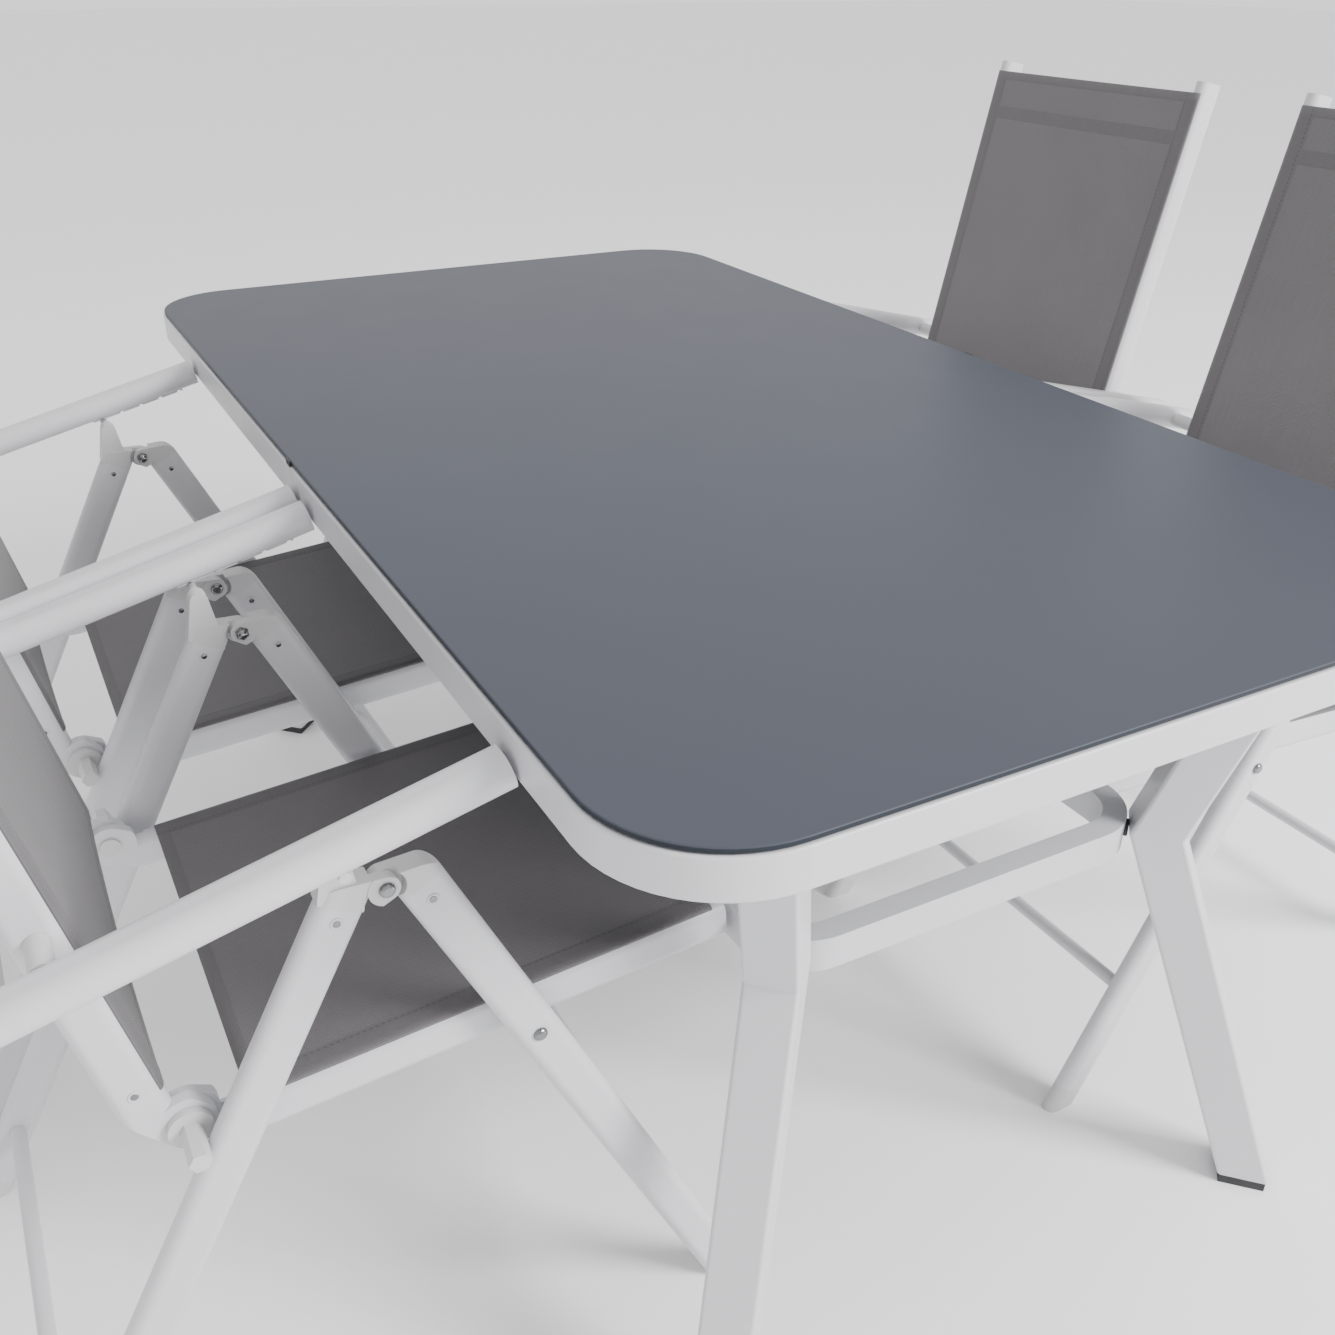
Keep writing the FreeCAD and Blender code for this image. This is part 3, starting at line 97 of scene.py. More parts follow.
# ------------------------------------------------------------------ settings
class FinishSettings(bpy.types.PropertyGroup):
    """Colours of the set."""

    coat: bpy.props.FloatVectorProperty(
        name="Powder coat", description="Coat on every tube and on the apron",
        subtype="COLOR", size=3, min=0.0, max=1.0, default=(0.60, 0.60, 0.625))
    moulded: bpy.props.FloatVectorProperty(
        name="Moulded plastic", description="Hinge fittings, hubs and tube caps",
        subtype="COLOR", size=3, min=0.0, max=1.0, default=(0.56, 0.56, 0.565))
    thread: bpy.props.FloatVectorProperty(
        name="Sling thread", description="Coated yarn of the slings",
        subtype="COLOR", size=3, min=0.0, max=1.0, default=(0.166, 0.157, 0.164))
    # Painted shade: the dark colour put in the holes and troughs between the yarns
    gap_shade_colour: bpy.props.FloatVectorProperty(
        name="Sling gaps", description="Gaps between the yarns",
        subtype="COLOR", size=3, min=0.0, max=1.0, default=(0.058, 0.054, 0.058))
    glass: bpy.props.FloatVectorProperty(
        name="Glass", description="Colour-backed satin glass",
        subtype="COLOR", size=3, min=0.0, max=1.0, default=(0.056, 0.061, 0.078))
    # Darker colour for the glass's edge faces and underside
    glass_edge: bpy.props.FloatVectorProperty(
        name="Glass edge", description="Ground edge of the glass",
        subtype="COLOR", size=3, min=0.0, max=1.0, default=(0.020, 0.024, 0.032))


class SlingSettings(bpy.types.PropertyGroup):
    """Sizes of the cloth."""

    seat_slope: bpy.props.FloatProperty(
        name="Seat slope", description="Rise of the seat towards its front",
        subtype="ANGLE", default=math.radians(4.1))
    back_lean: bpy.props.FloatProperty(
        name="Back lean", description="Lean of the backrest from upright",
        subtype="ANGLE", default=math.radians(12.0))
    thickness: bpy.props.FloatProperty(
        name="Cloth", description="Thickness of one layer",
        unit="LENGTH", subtype="DISTANCE", default=0.0008)
    seat_sag: bpy.props.FloatProperty(
        name="Seat sag", description="How far the middle of the seat hangs",
        unit="LENGTH", subtype="DISTANCE", default=0.007)
    back_sag: bpy.props.FloatProperty(
        name="Back sag", description="How far the middle of the back gives",
        unit="LENGTH", subtype="DISTANCE", default=0.004)
    hem: bpy.props.FloatProperty(
        name="Side hem", description="Width of the doubled strip beside each rail",
        unit="LENGTH", subtype="DISTANCE", default=0.024)
    end_hem: bpy.props.FloatProperty(
        name="End hem", description="Width of the doubled strip at each end",
        unit="LENGTH", subtype="DISTANCE", default=0.012)
    wrap: bpy.props.FloatProperty(
        name="Wrap", description="How far the cloth turns over the rail's crown to its slot",
        subtype="ANGLE", default=math.radians(42.0))
    pitch: bpy.props.FloatProperty(
        name="Yarn pitch", description="Distance between neighbouring yarns",
        unit="LENGTH", subtype="DISTANCE", default=0.0018)


class StageSettings(bpy.types.PropertyGroup):
    """Camera, lights and floor."""

    eye: bpy.props.FloatVectorProperty(
        name="Camera", description="Where the camera stands",
        subtype="XYZ", size=3, default=(-0.7277, -1.3208, 1.2075))
    heading: bpy.props.FloatVectorProperty(
        name="Heading", description="Direction in which the camera looks",
        subtype="XYZ", size=3, default=(0.42331, 0.76810, -0.48045))
    roll: bpy.props.FloatProperty(
        name="Roll", description="Turn of the camera about its own axis",
        subtype="ANGLE", default=math.radians(0.613))
    lens: bpy.props.FloatProperty(
        name="Lens", description="Focal length on a 36 mm sensor",
        subtype="DISTANCE_CAMERA", default=35.50)
    floor_reach: bpy.props.FloatProperty(
        name="Floor", description="Half the side of the floor",
        unit="LENGTH", subtype="DISTANCE", default=30.0)


# ------------------------------------------------------------------ material graphs
class Graph:
    """A material with one Principled shader and short ways to add nodes to it."""

    def __init__(self, name):
        self.material = bpy.data.materials.new(name)
        self.material.use_nodes = True
        self.tree = self.material.node_tree
        self.shader = self.tree.nodes["Principled BSDF"]

    def set(self, **sockets):
        for key, value in sockets.items():
            self.shader.inputs[key.replace("_", " ")].default_value = value

    def add(self, kind, **props):
        made = self.tree.nodes.new("ShaderNode" + kind)
        for key, value in props.items():
            setattr(made, key, value)
        return made

    def link(self, source, target):
        self.tree.links.new(source, target)
        return target

    def plug(self, socket, value):
        if isinstance(value, bpy.types.NodeSocket):
            self.link(value, socket)
        else:
            socket.default_value = value

    def place(self):
        return self.add("TexCoord").outputs["Object"]

    def flat_place(self):
        return self.add("UVMap", uv_map="cloth").outputs["UV"]

    def noise(self, where, scale, detail=2.0, rough=0.5):
        made = self.add("TexNoise")
        self.link(where, made.inputs["Vector"])
        made.inputs["Scale"].default_value = scale
        made.inputs["Detail"].default_value = detail
        made.inputs["Roughness"].default_value = rough
        return made.outputs["Fac"]

    def math(self, operation, first, second=0.0, third=None):
        """One Math node; each value is a number or a socket."""
        made = self.add("Math", operation=operation)
        self.plug(made.inputs[0], first)
        self.plug(made.inputs[1], second)
        if third is not None:
            self.plug(made.inputs[2], third)
        return made.outputs[0]

    def between(self, value, low, high, to_low, to_high):
        """The value taken from one range to another, and held at its ends."""
        made = self.add("MapRange")
        self.link(value, made.inputs["Value"])
        made.inputs["From Min"].default_value = low
        made.inputs["From Max"].default_value = high
        made.inputs["To Min"].default_value = to_low
        made.inputs["To Max"].default_value = to_high
        return made.outputs["Result"]

    def mix(self, share, first, second):
        made = self.add("Mix", data_type="RGBA")
        self.plug(made.inputs["Factor"], share)
        self.plug(made.inputs[6], first)
        self.plug(made.inputs[7], second)
        return made.outputs[2]

    def color(self, socket):
        self.link(socket, self.shader.inputs["Base Color"])

    def rough(self, socket):
        self.link(socket, self.shader.inputs["Roughness"])

    def bump(self, height, distance, strength=1.0):
        made = self.add("Bump")
        made.inputs["Distance"].default_value = distance
        made.inputs["Strength"].default_value = strength
        self.link(height, made.inputs["Height"])
        self.link(made.outputs["Normal"], self.shader.inputs["Normal"])


def shade(color, factor):
    """The colour made lighter or darker, with full opacity."""
    return tuple(min(1.0, part * factor) for part in color) + (1.0,)


def coated(name, color, roughness, peel):
    """Sprayed or moulded white surface: faint mottling, fine peel and rubbed patches."""
    graph = Graph(name)
    place = graph.place()
    cloud = graph.noise(place, 9.0, 3.0)
    speck = graph.noise(place, 1300.0, 1.0)
    blend = graph.math("MULTIPLY_ADD", speck, 0.35, graph.math("MULTIPLY", cloud, 0.65))
    graph.color(graph.mix(graph.between(blend, 0.3, 0.7, 0.0, 1.0),
                          shade(color, 0.965), shade(color, 1.02)))
    wear = graph.noise(place, 38.0, 4.0, 0.6)
    graph.rough(graph.between(wear, 0.3, 0.75, roughness - 0.05, roughness + 0.07))
    fine = graph.noise(place, 620.0, 2.0)
    graph.bump(fine, peel)
    graph.set(Specular_IOR_Level=0.5)
    return graph.material


def chrome(name):
    """Bright plated metal with faint smears; its base colour is held dark, a painted reflection of dark
    surroundings and painted shade for the sunk screws' throats.
    """
    graph = Graph(name)
    place = graph.place()
    smear = graph.noise(place, 420.0, 3.0)
    graph.rough(graph.between(smear, 0.3, 0.7, 0.10, 0.24))
    # Dark base colours: painted reflection of dark surroundings on the plated heads, and painted shade so the sunk
    # screw heads read as the shaded throats of their holes
    graph.color(graph.mix(graph.noise(place, 90.0),
                          (0.17, 0.175, 0.18, 1.0), (0.30, 0.30, 0.31, 1.0)))
    graph.bump(graph.noise(place, 900.0), 0.00004)
    graph.set(Metallic=1.0)
    return graph.material


def rubber(name):
    """Black rubber with a dull, uneven skin."""
    graph = Graph(name)
    place = graph.place()
    graph.color(graph.mix(graph.noise(place, 160.0, 3.0),
                          (0.016, 0.016, 0.018, 1.0), (0.032, 0.032, 0.035, 1.0)))
    graph.rough(graph.between(graph.noise(place, 75.0, 3.0), 0.3, 0.7, 0.5, 0.72))
    graph.bump(graph.noise(place, 1500.0), 0.00008)
    return graph.material


def satin_glass(name, color, edge):
    """Satin glass over a coloured back; from about a millimetre below its top face downwards, its edges and
    underside are darker.
    """
    graph = Graph(name)
    place = graph.place()
    low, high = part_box("glass_top")
    split = graph.add("SeparateXYZ")
    graph.link(place, split.inputs[0])
    # Everything more than about a millimetre below the top face takes the darker edge colour
    rim = graph.between(split.outputs["Z"], high.z - 0.0013, high.z - 0.0006, 1.0, 0.0)
    cloud = graph.noise(place, 2.2, 2.0)
    grit = graph.noise(place, 2600.0, 1.0)
    blend = graph.math("MULTIPLY_ADD", grit, 0.4, graph.math("MULTIPLY", cloud, 0.6))
    body = graph.mix(graph.between(blend, 0.35, 0.65, 0.0, 1.0), shade(color, 0.985),
                     shade(color, 1.015))
    graph.color(graph.mix(rim, body, tuple(edge) + (1.0,)))
    graph.rough(graph.between(graph.noise(place, 14.0, 3.0), 0.3, 0.7, 0.425, 0.44))
    graph.bump(graph.noise(place, 1700.0, 1.0), 0.00002)
    graph.set(Specular_IOR_Level=0.16, IOR=1.45)
    return graph.material


def stitches(graph, across, along, line, sling):
    """Dashes of sewing thread along a line on both sides of the cloth."""
    away = graph.math("ABSOLUTE", graph.math("SUBTRACT", graph.math("ABSOLUTE", across), line))
    thread = graph.between(away, 0.0004, 0.0007, 1.0, 0.0)
    dash = graph.math("SINE", graph.math("MULTIPLY", along, 2.0 * math.pi / (3.0 * sling.pitch)))
    return graph.math("MULTIPLY", thread, graph.between(dash, -0.5, -0.2, 0.0, 1.0))


def woven(name, half_width, bands, finish, sling):
    """Mesh of coated yarns in cloth coordinates; doubled strips look darker and denser. The weave's crests are
    painted lighter as painted highlight, and its holes and troughs are painted dark as painted shade.
    """
    graph = Graph(name)
    flat = graph.flat_place()
    split = graph.add("SeparateXYZ")
    graph.link(flat, split.inputs[0])
    across, along = split.outputs["X"], split.outputs["Y"]
    turn = math.pi / sling.pitch
    warp = graph.math("SINE", graph.math("MULTIPLY", across, turn))
    weft = graph.math("SINE", graph.math("MULTIPLY", along, turn))
    over = graph.math("MULTIPLY", warp, weft)
    # Holes, where both yarn gaps meet, and the troughs beside each yarn are painted dark: painted shade between
    # the yarns
    gap_a = graph.between(graph.math("ABSOLUTE", warp), 0.18, 0.42, 1.0, 0.0)
    gap_b = graph.between(graph.math("ABSOLUTE", weft), 0.18, 0.42, 1.0, 0.0)
    hole = graph.math("MULTIPLY", gap_a, gap_b)
    painted_trough_shade = graph.math("MAXIMUM", graph.math("MULTIPLY", gap_a, 0.35),
                        graph.math("MULTIPLY", gap_b, 0.35))
    painted_weave_shade = graph.math("MAXIMUM", hole, painted_trough_shade)
    # The yarns' crests are painted lighter and their dips painted darker: painted highlight and painted shade of
    # the weave's relief
    painted_crest_light = graph.between(over, -1.0, 1.0, 0.0, 1.0)
    streak = graph.add("Mapping")
    graph.link(flat, streak.inputs["Vector"])
    streak.inputs["Scale"].default_value = (1.0, 0.03, 1.0)
    slub = graph.noise(streak.outputs["Vector"], 420.0, 2.0)
    cloud = graph.noise(flat, 7.0, 3.0)
    yarn = graph.mix(painted_crest_light, shade(finish.thread, 0.80), shade(finish.thread, 1.22))
    yarn = graph.mix(graph.between(slub, 0.35, 0.65, 0.0, 0.35), yarn, shade(finish.thread, 1.28))
    yarn = graph.mix(graph.between(cloud, 0.35, 0.7, 0.0, 0.3), yarn, shade(finish.thread, 0.78))
    cloth = graph.mix(painted_weave_shade, yarn, tuple(finish.gap_shade_colour) + (1.0,))
    strip = graph.between(graph.math("ABSOLUTE", across), half_width - sling.hem - 0.0006,
                          half_width - sling.hem + 0.0006, 0.0, 1.0)
    for centre, half in bands:
        away = graph.math("ABSOLUTE", graph.math("SUBTRACT", along, centre))
        strip = graph.math("MAXIMUM", strip,
                           graph.between(away, half - 0.0006, half + 0.0006, 1.0, 0.0))
    # Doubled strips: a darker yarn colour, with the painted shade of the holes and troughs at seven tenths
    doubled = graph.mix(graph.math("MULTIPLY", painted_weave_shade, 0.7), shade(finish.thread, 0.82),
                        tuple(finish.gap_shade_colour) + (1.0,))
    surface = graph.mix(strip, cloth, doubled)
    seam = stitches(graph, across, along, half_width - sling.hem + 0.0035, sling)
    graph.color(graph.mix(seam, surface, shade(finish.thread, 0.42)))
    graph.rough(graph.between(slub, 0.3, 0.7, 0.52, 0.68))
    relief = graph.math("SUBTRACT", graph.math("MULTIPLY", graph.math("ABSOLUTE", over), 0.6),
                        hole)
    graph.bump(relief, 0.0004, 0.8)
    graph.set(Specular_IOR_Level=0.35, Sheen_Weight=0.12, Sheen_Roughness=0.5)
    return graph.material


# ------------------------------------------------------------------ chair space
def joint_point(name):
    """Where a joint's axis lies at rest."""
    for joint in frame["joints"]:
        if joint["name"] == name:
            return Vector(joint["pos_m"])
    raise RuntimeError("no joint named " + name)


def seat_of(chair):
    """Placement that takes the first chair's pieces, with their middle at y 0, to this chair."""
    hinge = joint_point(chair + "_fold")
    turn = 0.0 if hinge.x < 0.0 else math.pi
    return Matrix.Translation((0.0, hinge.y, 0.0)) @ Matrix.Rotation(turn, 4, "Z")


def home(point):
    """A point of the first chair with its middle moved to y 0."""
    return Vector((point.x, point.y - joint_point("chair_a_fold").y, point.z))


def reach(node, direction):
    """Lowest and highest measure of a node's solid along a direction."""
    row = joint_point("chair_a_fold").y if node.startswith("chair_a") else 0.0
    measures = [(v.co - Vector((0.0, row, 0.0))).dot(direction)
                for v in frame["nodes"][node].data.vertices]
    return min(measures), max(measures)


def make_object(name, mesh, body, material, smooth=True):
    """Link a finished mesh and let it ride on a body."""
    mesh.materials.clear()
    mesh.materials.append(material)
    for face in mesh.polygons:
        face.use_smooth = smooth
    piece = bpy.data.objects.new(name, mesh)
    bpy.context.scene.collection.objects.link(piece)
    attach(piece, body)
    return piece


def store(bm, name):
    """Free a bmesh into a named mesh whose faces point outwards."""
    mesh = bpy.data.meshes.new(name)
    bmesh.ops.recalc_face_normals(bm, faces=bm.faces)
    bm.to_mesh(mesh)
    bm.free()
    return mesh


def placed(mesh, name, matrix):
    """A copy of a mesh, moved to its place."""
    other = mesh.copy()
    other.name = name
    other.transform(matrix)
    return other


def lathe(profile, steps=32):
    """Closed solid turned about Z from points (radius, height), both ends on the axis."""
    bm = bmesh.new()
    verts = [bm.verts.new((radius, 0.0, height)) for radius, height in profile]
    for first, second in zip(verts, verts[1:]):
        bm.edges.new((first, second))
    bmesh.ops.spin(bm, geom=bm.verts[:] + bm.edges[:], cent=(0, 0, 0), axis=(0, 0, 1),
                   angle=2.0 * math.pi, steps=steps, use_merge=True)
    bmesh.ops.remove_doubles(bm, verts=bm.verts, dist=1e-6)
    return bm


def join_copies(sources):
    """One bmesh from (mesh, matrix) pairs."""
    whole = bmesh.new()
    for mesh, matrix in sources:
        part = mesh.copy()
        part.transform(matrix)
        whole.from_mesh(part)
        bpy.data.meshes.remove(part)
    return whole


def facing(point, normal, spin=0.0):
    """Placement at a point whose Z looks along a normal."""
    turn = Vector(normal).to_track_quat("Z", "X").to_matrix().to_4x4()
    return Matrix.Translation(point) @ turn @ Matrix.Rotation(spin, 4, "Z")


# ------------------------------------------------------------------ slings
def stations(marks, step):
    """Positions through all the marks, no further apart than a step."""
    values = [marks[0]]
    for low, high in zip(marks, marks[1:]):
        count = max(1, math.ceil((high - low) / step))
        values += [low + (high - low) * k / count for k in range(1, count + 1)]
    return values


def guarded(marks, lip):
    """Each mark with close neighbours on both sides, so that a step stays crisp."""
    return sorted({mark + shift for mark in marks for shift in (-lip, -lip / 3.0, lip / 3.0, lip)})


def flat_part(rail, sag):
    """Cloth's radius on the crown, its lean there, and the width up to where it meets it."""
    skin = rail["radius"] + CLOTH_GAP
    lean = math.atan(2.0 * sag / rail["side_y"])
    return skin, lean, rail["side_y"] - skin * math.sin(lean)


def cloth_point(rail, sag, s, t, length, lift):
    """Point of the stretched cloth for a flat point (s across, t along)."""
    skin, lean, flat_run = flat_part(rail, sag)
    centre_h = rail["crown"] - rail["radius"]
    across = abs(s)
    if across <= flat_run:
        ends = 1.0 - (2.0 * t / length - 1.0) ** 6
        depth = sag * (1.0 - END_HOLD + END_HOLD * ends)
        h = centre_h + skin * math.cos(lean) - depth * (1.0 - (across / flat_run) ** 2) + lift
        y = across
    else:
        angle = (across - flat_run) / skin - lean
        bite = max(0.0, angle - rail["wrap"] + TUCK_ANGLE) / TUCK_ANGLE
        hold = skin + lift - (CLOTH_GAP + TUCK_DEPTH) * bite * bite
        y = rail["side_y"] + hold * math.sin(angle)
        h = centre_h + hold * math.cos(angle)
    point = rail["along"] * (rail["span"][0] + t) + rail["up"] * h
    return point + SIDEWAYS * math.copysign(y, s)


def sling_mesh(name, rail, sag, sling, bands):
    """Flat cloth stretched over two rails and tucked into their slots."""
    skin, lean, flat_run = flat_part(rail, sag)
    half = flat_run + skin * (rail["wrap"] + lean)
    hem_line = half - sling.hem
    length = rail["span"][1] - rail["span"][0]
    steps = guarded([hem_line], HEM_LIP)
    side_marks = stations([0.0] + steps + [flat_run], ACROSS_STEP)
    side_marks += stations([flat_run, half], CROWN_STEP)[1:]
    cols = [-mark for mark in reversed(side_marks[1:])] + side_marks
    edges = [centre + sign * width for centre, width in bands for sign in (-1.0, 1.0)]
    inner = [edge for edge in edges if 2.0 * HEM_LIP < edge < length - 2.0 * HEM_LIP]
    rows = stations([0.0] + guarded(inner, HEM_LIP) + [length], ALONG_STEP)
    bm = bmesh.new()
    bmesh.ops.create_grid(bm, x_segments=len(cols) - 1, y_segments=len(rows) - 1, size=0.5)
    layer = bm.loops.layers.uv.new("cloth")
    flat = {}
    for vert in bm.verts:
        flat[vert] = (cols[round((vert.co.x + 0.5) * (len(cols) - 1))],
                      rows[round((vert.co.y + 0.5) * (len(rows) - 1))])
    for face in bm.faces:
        for loop in face.loops:
            loop[layer].uv = flat[loop.vert]
    for vert, (s, t) in flat.items():
        doubled = abs(s) > hem_line
        for centre, width in bands:
            doubled = doubled or abs(t - centre) < width
        lift = sling.thickness * HEM_LIFT if doubled else 0.0
        vert.co = cloth_point(rail, sag, s, t, length, lift)
    bmesh.ops.recalc_face_normals(bm, faces=bm.faces)
    facing_up = sum((face.normal * face.calc_area() for face in bm.faces), Vector())
    if facing_up.dot(rail["up"]) < 0.0:
        bmesh.ops.reverse_faces(bm, faces=bm.faces)
    mesh = bpy.data.meshes.new(name)
    bm.to_mesh(mesh)
    bm.free()
    return mesh, 2.0 * half, length


def rail_space(kind, sling):
    """Directions, crown, radius and side of the rails that hold a sling of the first chair."""
    if kind == "seat":
        along = Vector((math.cos(sling.seat_slope), 0.0, math.sin(sling.seat_slope)))
        up = Vector((-along.z, 0.0, along.x))
    else:
        along = Vector((-math.sin(sling.back_lean), 0.0, math.cos(sling.back_lean)))
        up = Vector((along.z, 0.0, -along.x))
    panel = "chair_a_%s_sling" % kind
    axis_h = reach(panel, up)[0] - SLING_RISE
    return {"along": along, "up": up, "span": reach(panel, along),
            "crown": axis_h + TUBE_HALF_WIDTH, "radius": TUBE_HALF_THICK,
            "side_y": reach(panel, SIDEWAYS)[1] + SIDE_GAP + TUBE_HALF_THICK,
            "wrap": sling.wrap}


def build_slings(kind, sag, bands_of, finish, sling):
    """One cloth for the first chair, copied to the others."""
    rail = rail_space(kind, sling)
    bands = bands_of(rail["span"][1] - rail["span"][0])
    mesh, width, length = sling_mesh(kind + "_sling", rail, sag, sling, bands)
    material = woven(kind + "_mesh", width / 2.0, bands, finish, sling)
    for chair in CHAIRS:
        part = "%s_%s" % (chair, kind)
        copy = placed(mesh, part + "_cloth", seat_of(chair))
        cloth = make_object(part + "_cloth", copy, part, material)
        wall = cloth.modifiers.new("layer", "SOLIDIFY")
        wall.thickness = sling.thickness
        wall.offset = 0.0
        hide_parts(part + "_sling")
    bpy.data.meshes.remove(mesh)


def end_bands(length, hem):
    """Middle and half width of the doubled strips at both ends of a cloth."""
    return [(hem / 2.0, hem / 2.0), (length - hem / 2.0, hem / 2.0)]


class PATIO_OT_seat_slings(bpy.types.Operator):
    """Stretch the seat cloth over the seat rails of every chair"""

    bl_idname = "patio.seat_slings"
    bl_label = "Seat slings"

    def execute(self, context):
        finish, sling = context.scene.patio_finish, context.scene.patio_sling

        def bands(length):
            return end_bands(length, sling.end_hem)
        build_slings("seat", sling.seat_sag, bands, finish, sling)
        return {"FINISHED"}


class PATIO_OT_back_slings(bpy.types.Operator):
    """Stretch the back cloth over the back rails of every chair"""

    bl_idname = "patio.back_slings"
    bl_label = "Back slings"

    def execute(self, context):
        finish, sling = context.scene.patio_finish, context.scene.patio_sling

        def bands(length):
            seam = (length - BACK_SEAM_DROP, BACK_SEAM_HALF)
            return end_bands(length, sling.end_hem) + [seam]
        build_slings("back", sling.back_sag, bands, finish, sling)
        return {"FINISHED"}


# ------------------------------------------------------------------ screws
def cross_floor(bm, arm, width, depth, edge, top):
    """Sink a cross-shaped recess into the flat top face of a head."""
    ring = [(arm, width), (width, width), (width, arm), (-width, arm), (-width, width),
            (-arm, width), (-arm, -width), (-width, -width), (-width, -arm), (width, -arm),
            (width, -width), (arm, -width)]
    rim = [v for v in bm.verts if abs(v.co.z - top) < 1e-7 and v.co.xy.length > edge * 0.9]
    cap = [f for f in bm.faces if all(v in rim for v in f.verts)]
    bmesh.ops.delete(bm, geom=cap, context="FACES")
    mouth = [bm.verts.new((x, y, top)) for x, y in ring]
    lines = [bm.edges.new((mouth[k], mouth[k - 1])) for k in range(len(mouth))]
    border = [e for e in bm.edges if e.is_boundary and all(v in rim for v in e.verts)]
    bmesh.ops.triangle_fill(bm, edges=border + lines, use_beauty=True)
    inside = [f for f in bm.faces if len(set(f.verts) & set(mouth)) == len(f.verts)
              and min(abs(f.calc_center_median().x), abs(f.calc_center_median().y)) < width
              and f.calc_center_median().xy.length < arm]
    bmesh.ops.delete(bm, geom=inside, context="FACES_ONLY")
    loose = [e for e in bm.edges if not e.link_faces]
    bmesh.ops.delete(bm, geom=loose, context="EDGES")
    lines = [e for e in bm.edges if e.is_boundary and all(v in mouth for v in e.verts)]
    down = bmesh.ops.extrude_edge_only(bm, edges=lines)["geom"]
    floor = [g for g in down if isinstance(g, bmesh.types.BMVert)]
    bmesh.ops.translate(bm, vec=(0.0, 0.0, -depth), verts=floor)
    bmesh.ops.scale(bm, vec=(0.62, 0.62, 1.0), verts=floor)
    last = [e for e in bm.edges if e.is_boundary and all(v in floor for v in e.verts)]
    bmesh.ops.contextual_create(bm, geom=last)


def pan_head():
    """Domed screw head with a cross recess, its foot at Z 0."""
    top = 3.9 * MM
    bm = lathe([(0.0, 0.0), (6.1 * MM, 0.0), (6.25 * MM, 0.5 * MM), (6.15 * MM, 1.5 * MM),
                (5.6 * MM, 2.5 * MM), (4.8 * MM, 3.3 * MM), (3.7 * MM, top), (0.0, top)], 36)
    cross_floor(bm, 3.1 * MM, 0.8 * MM, 2.6 * MM, 3.7 * MM, top)
    return store(bm, "pan_head")


def cap_nut():
    """Six-sided nut with a rounded cap, its foot at Z 0."""
    bm = bmesh.new()
    bmesh.ops.create_circle(bm, cap_ends=True, segments=6, radius=7.0 * MM)
    solid = bmesh.ops.extrude_face_region(bm, geom=bm.faces[:])
    verts = [g for g in solid["geom"] if isinstance(g, bmesh.types.BMVert)]
    bmesh.ops.translate(bm, vec=(0.0, 0.0, 3.4 * MM), verts=verts)
    bmesh.ops.bevel(bm, geom=bm.edges[:], offset=0.45 * MM, segments=2, profile=0.5,
                    affect="EDGES", material=-1)
    dome = lathe([(0.0, 3.0 * MM), (5.4 * MM, 3.0 * MM), (5.2 * MM, 4.4 * MM),
                  (4.2 * MM, 6.0 * MM), (2.4 * MM, 7.0 * MM), (0.0, 7.4 * MM)], 24)
    part = store(dome, "nut_dome")
    bm.from_mesh(part)
    bpy.data.meshes.remove(part)
    return store(bm, "cap_nut")


def sunk_ring():
    """Pressed rim of a countersunk hole with its sloping throat, its foot at Z 0."""
    bm = lathe([(0.0, 0.02 * MM), (5.3 * MM, 0.02 * MM), (5.1 * MM, 0.45 * MM),
                (4.6 * MM, 0.8 * MM), (4.1 * MM, 0.78 * MM), (3.2 * MM, 0.12 * MM),
                (0.0, 0.1 * MM)], 32)
    return store(bm, "sunk_ring")


def sunk_screw():
    """Small flat head with a cross recess that lies in the sunk ring."""
    top = 0.5 * MM
    bm = lathe([(0.0, 0.0), (2.9 * MM, 0.0), (2.85 * MM, 0.3 * MM), (2.4 * MM, top),
                (0.0, top)], 28)
    cross_floor(bm, 1.8 * MM, 0.4 * MM, 0.4 * MM, 2.4 * MM, top)
    return store(bm, "sunk_screw")


def shaft(length):
    """Plain shaft of a pivot screw from Z 0 downwards."""
    bm = lathe([(0.0, 0.0), (4.0 * MM, 0.0), (4.0 * MM, -length), (0.0, -length)], 24)
    return store(bm, "screw_shaft")


def spread(name, mesh, spots, chair, body, material):
    """Copies of one small mesh at (point, normal, spin) spots of the first chair."""
    whole = join_copies([(mesh, facing(point, normal, spin)) for point, normal, spin in spots])
    result = store(whole, name)
    result.transform(seat_of(chair))
    return make_object(name, result, body, material)


def side_lines(sling):
    """Pivot points and tube directions of the first chair, with its middle at y 0."""
    lines = {
        "hinge": home(joint_point("chair_a_fold")),
        "seat_pivot": home(joint_point("chair_a_seat_tilt")),
        "recline": home(joint_point("chair_a_recline")),
    }
    lines["front"] = Vector((math.sin(FRONT_LEAN), 0.0, -math.cos(FRONT_LEAN)))
    lines["rear"] = Vector((-math.sin(REAR_LEAN), 0.0, -math.cos(REAR_LEAN)))
    lines["seat"] = Vector((math.cos(sling.seat_slope), 0.0, math.sin(sling.seat_slope)))
    lines["back"] = Vector((-math.sin(sling.back_lean), 0.0, math.cos(sling.back_lean)))
    return lines


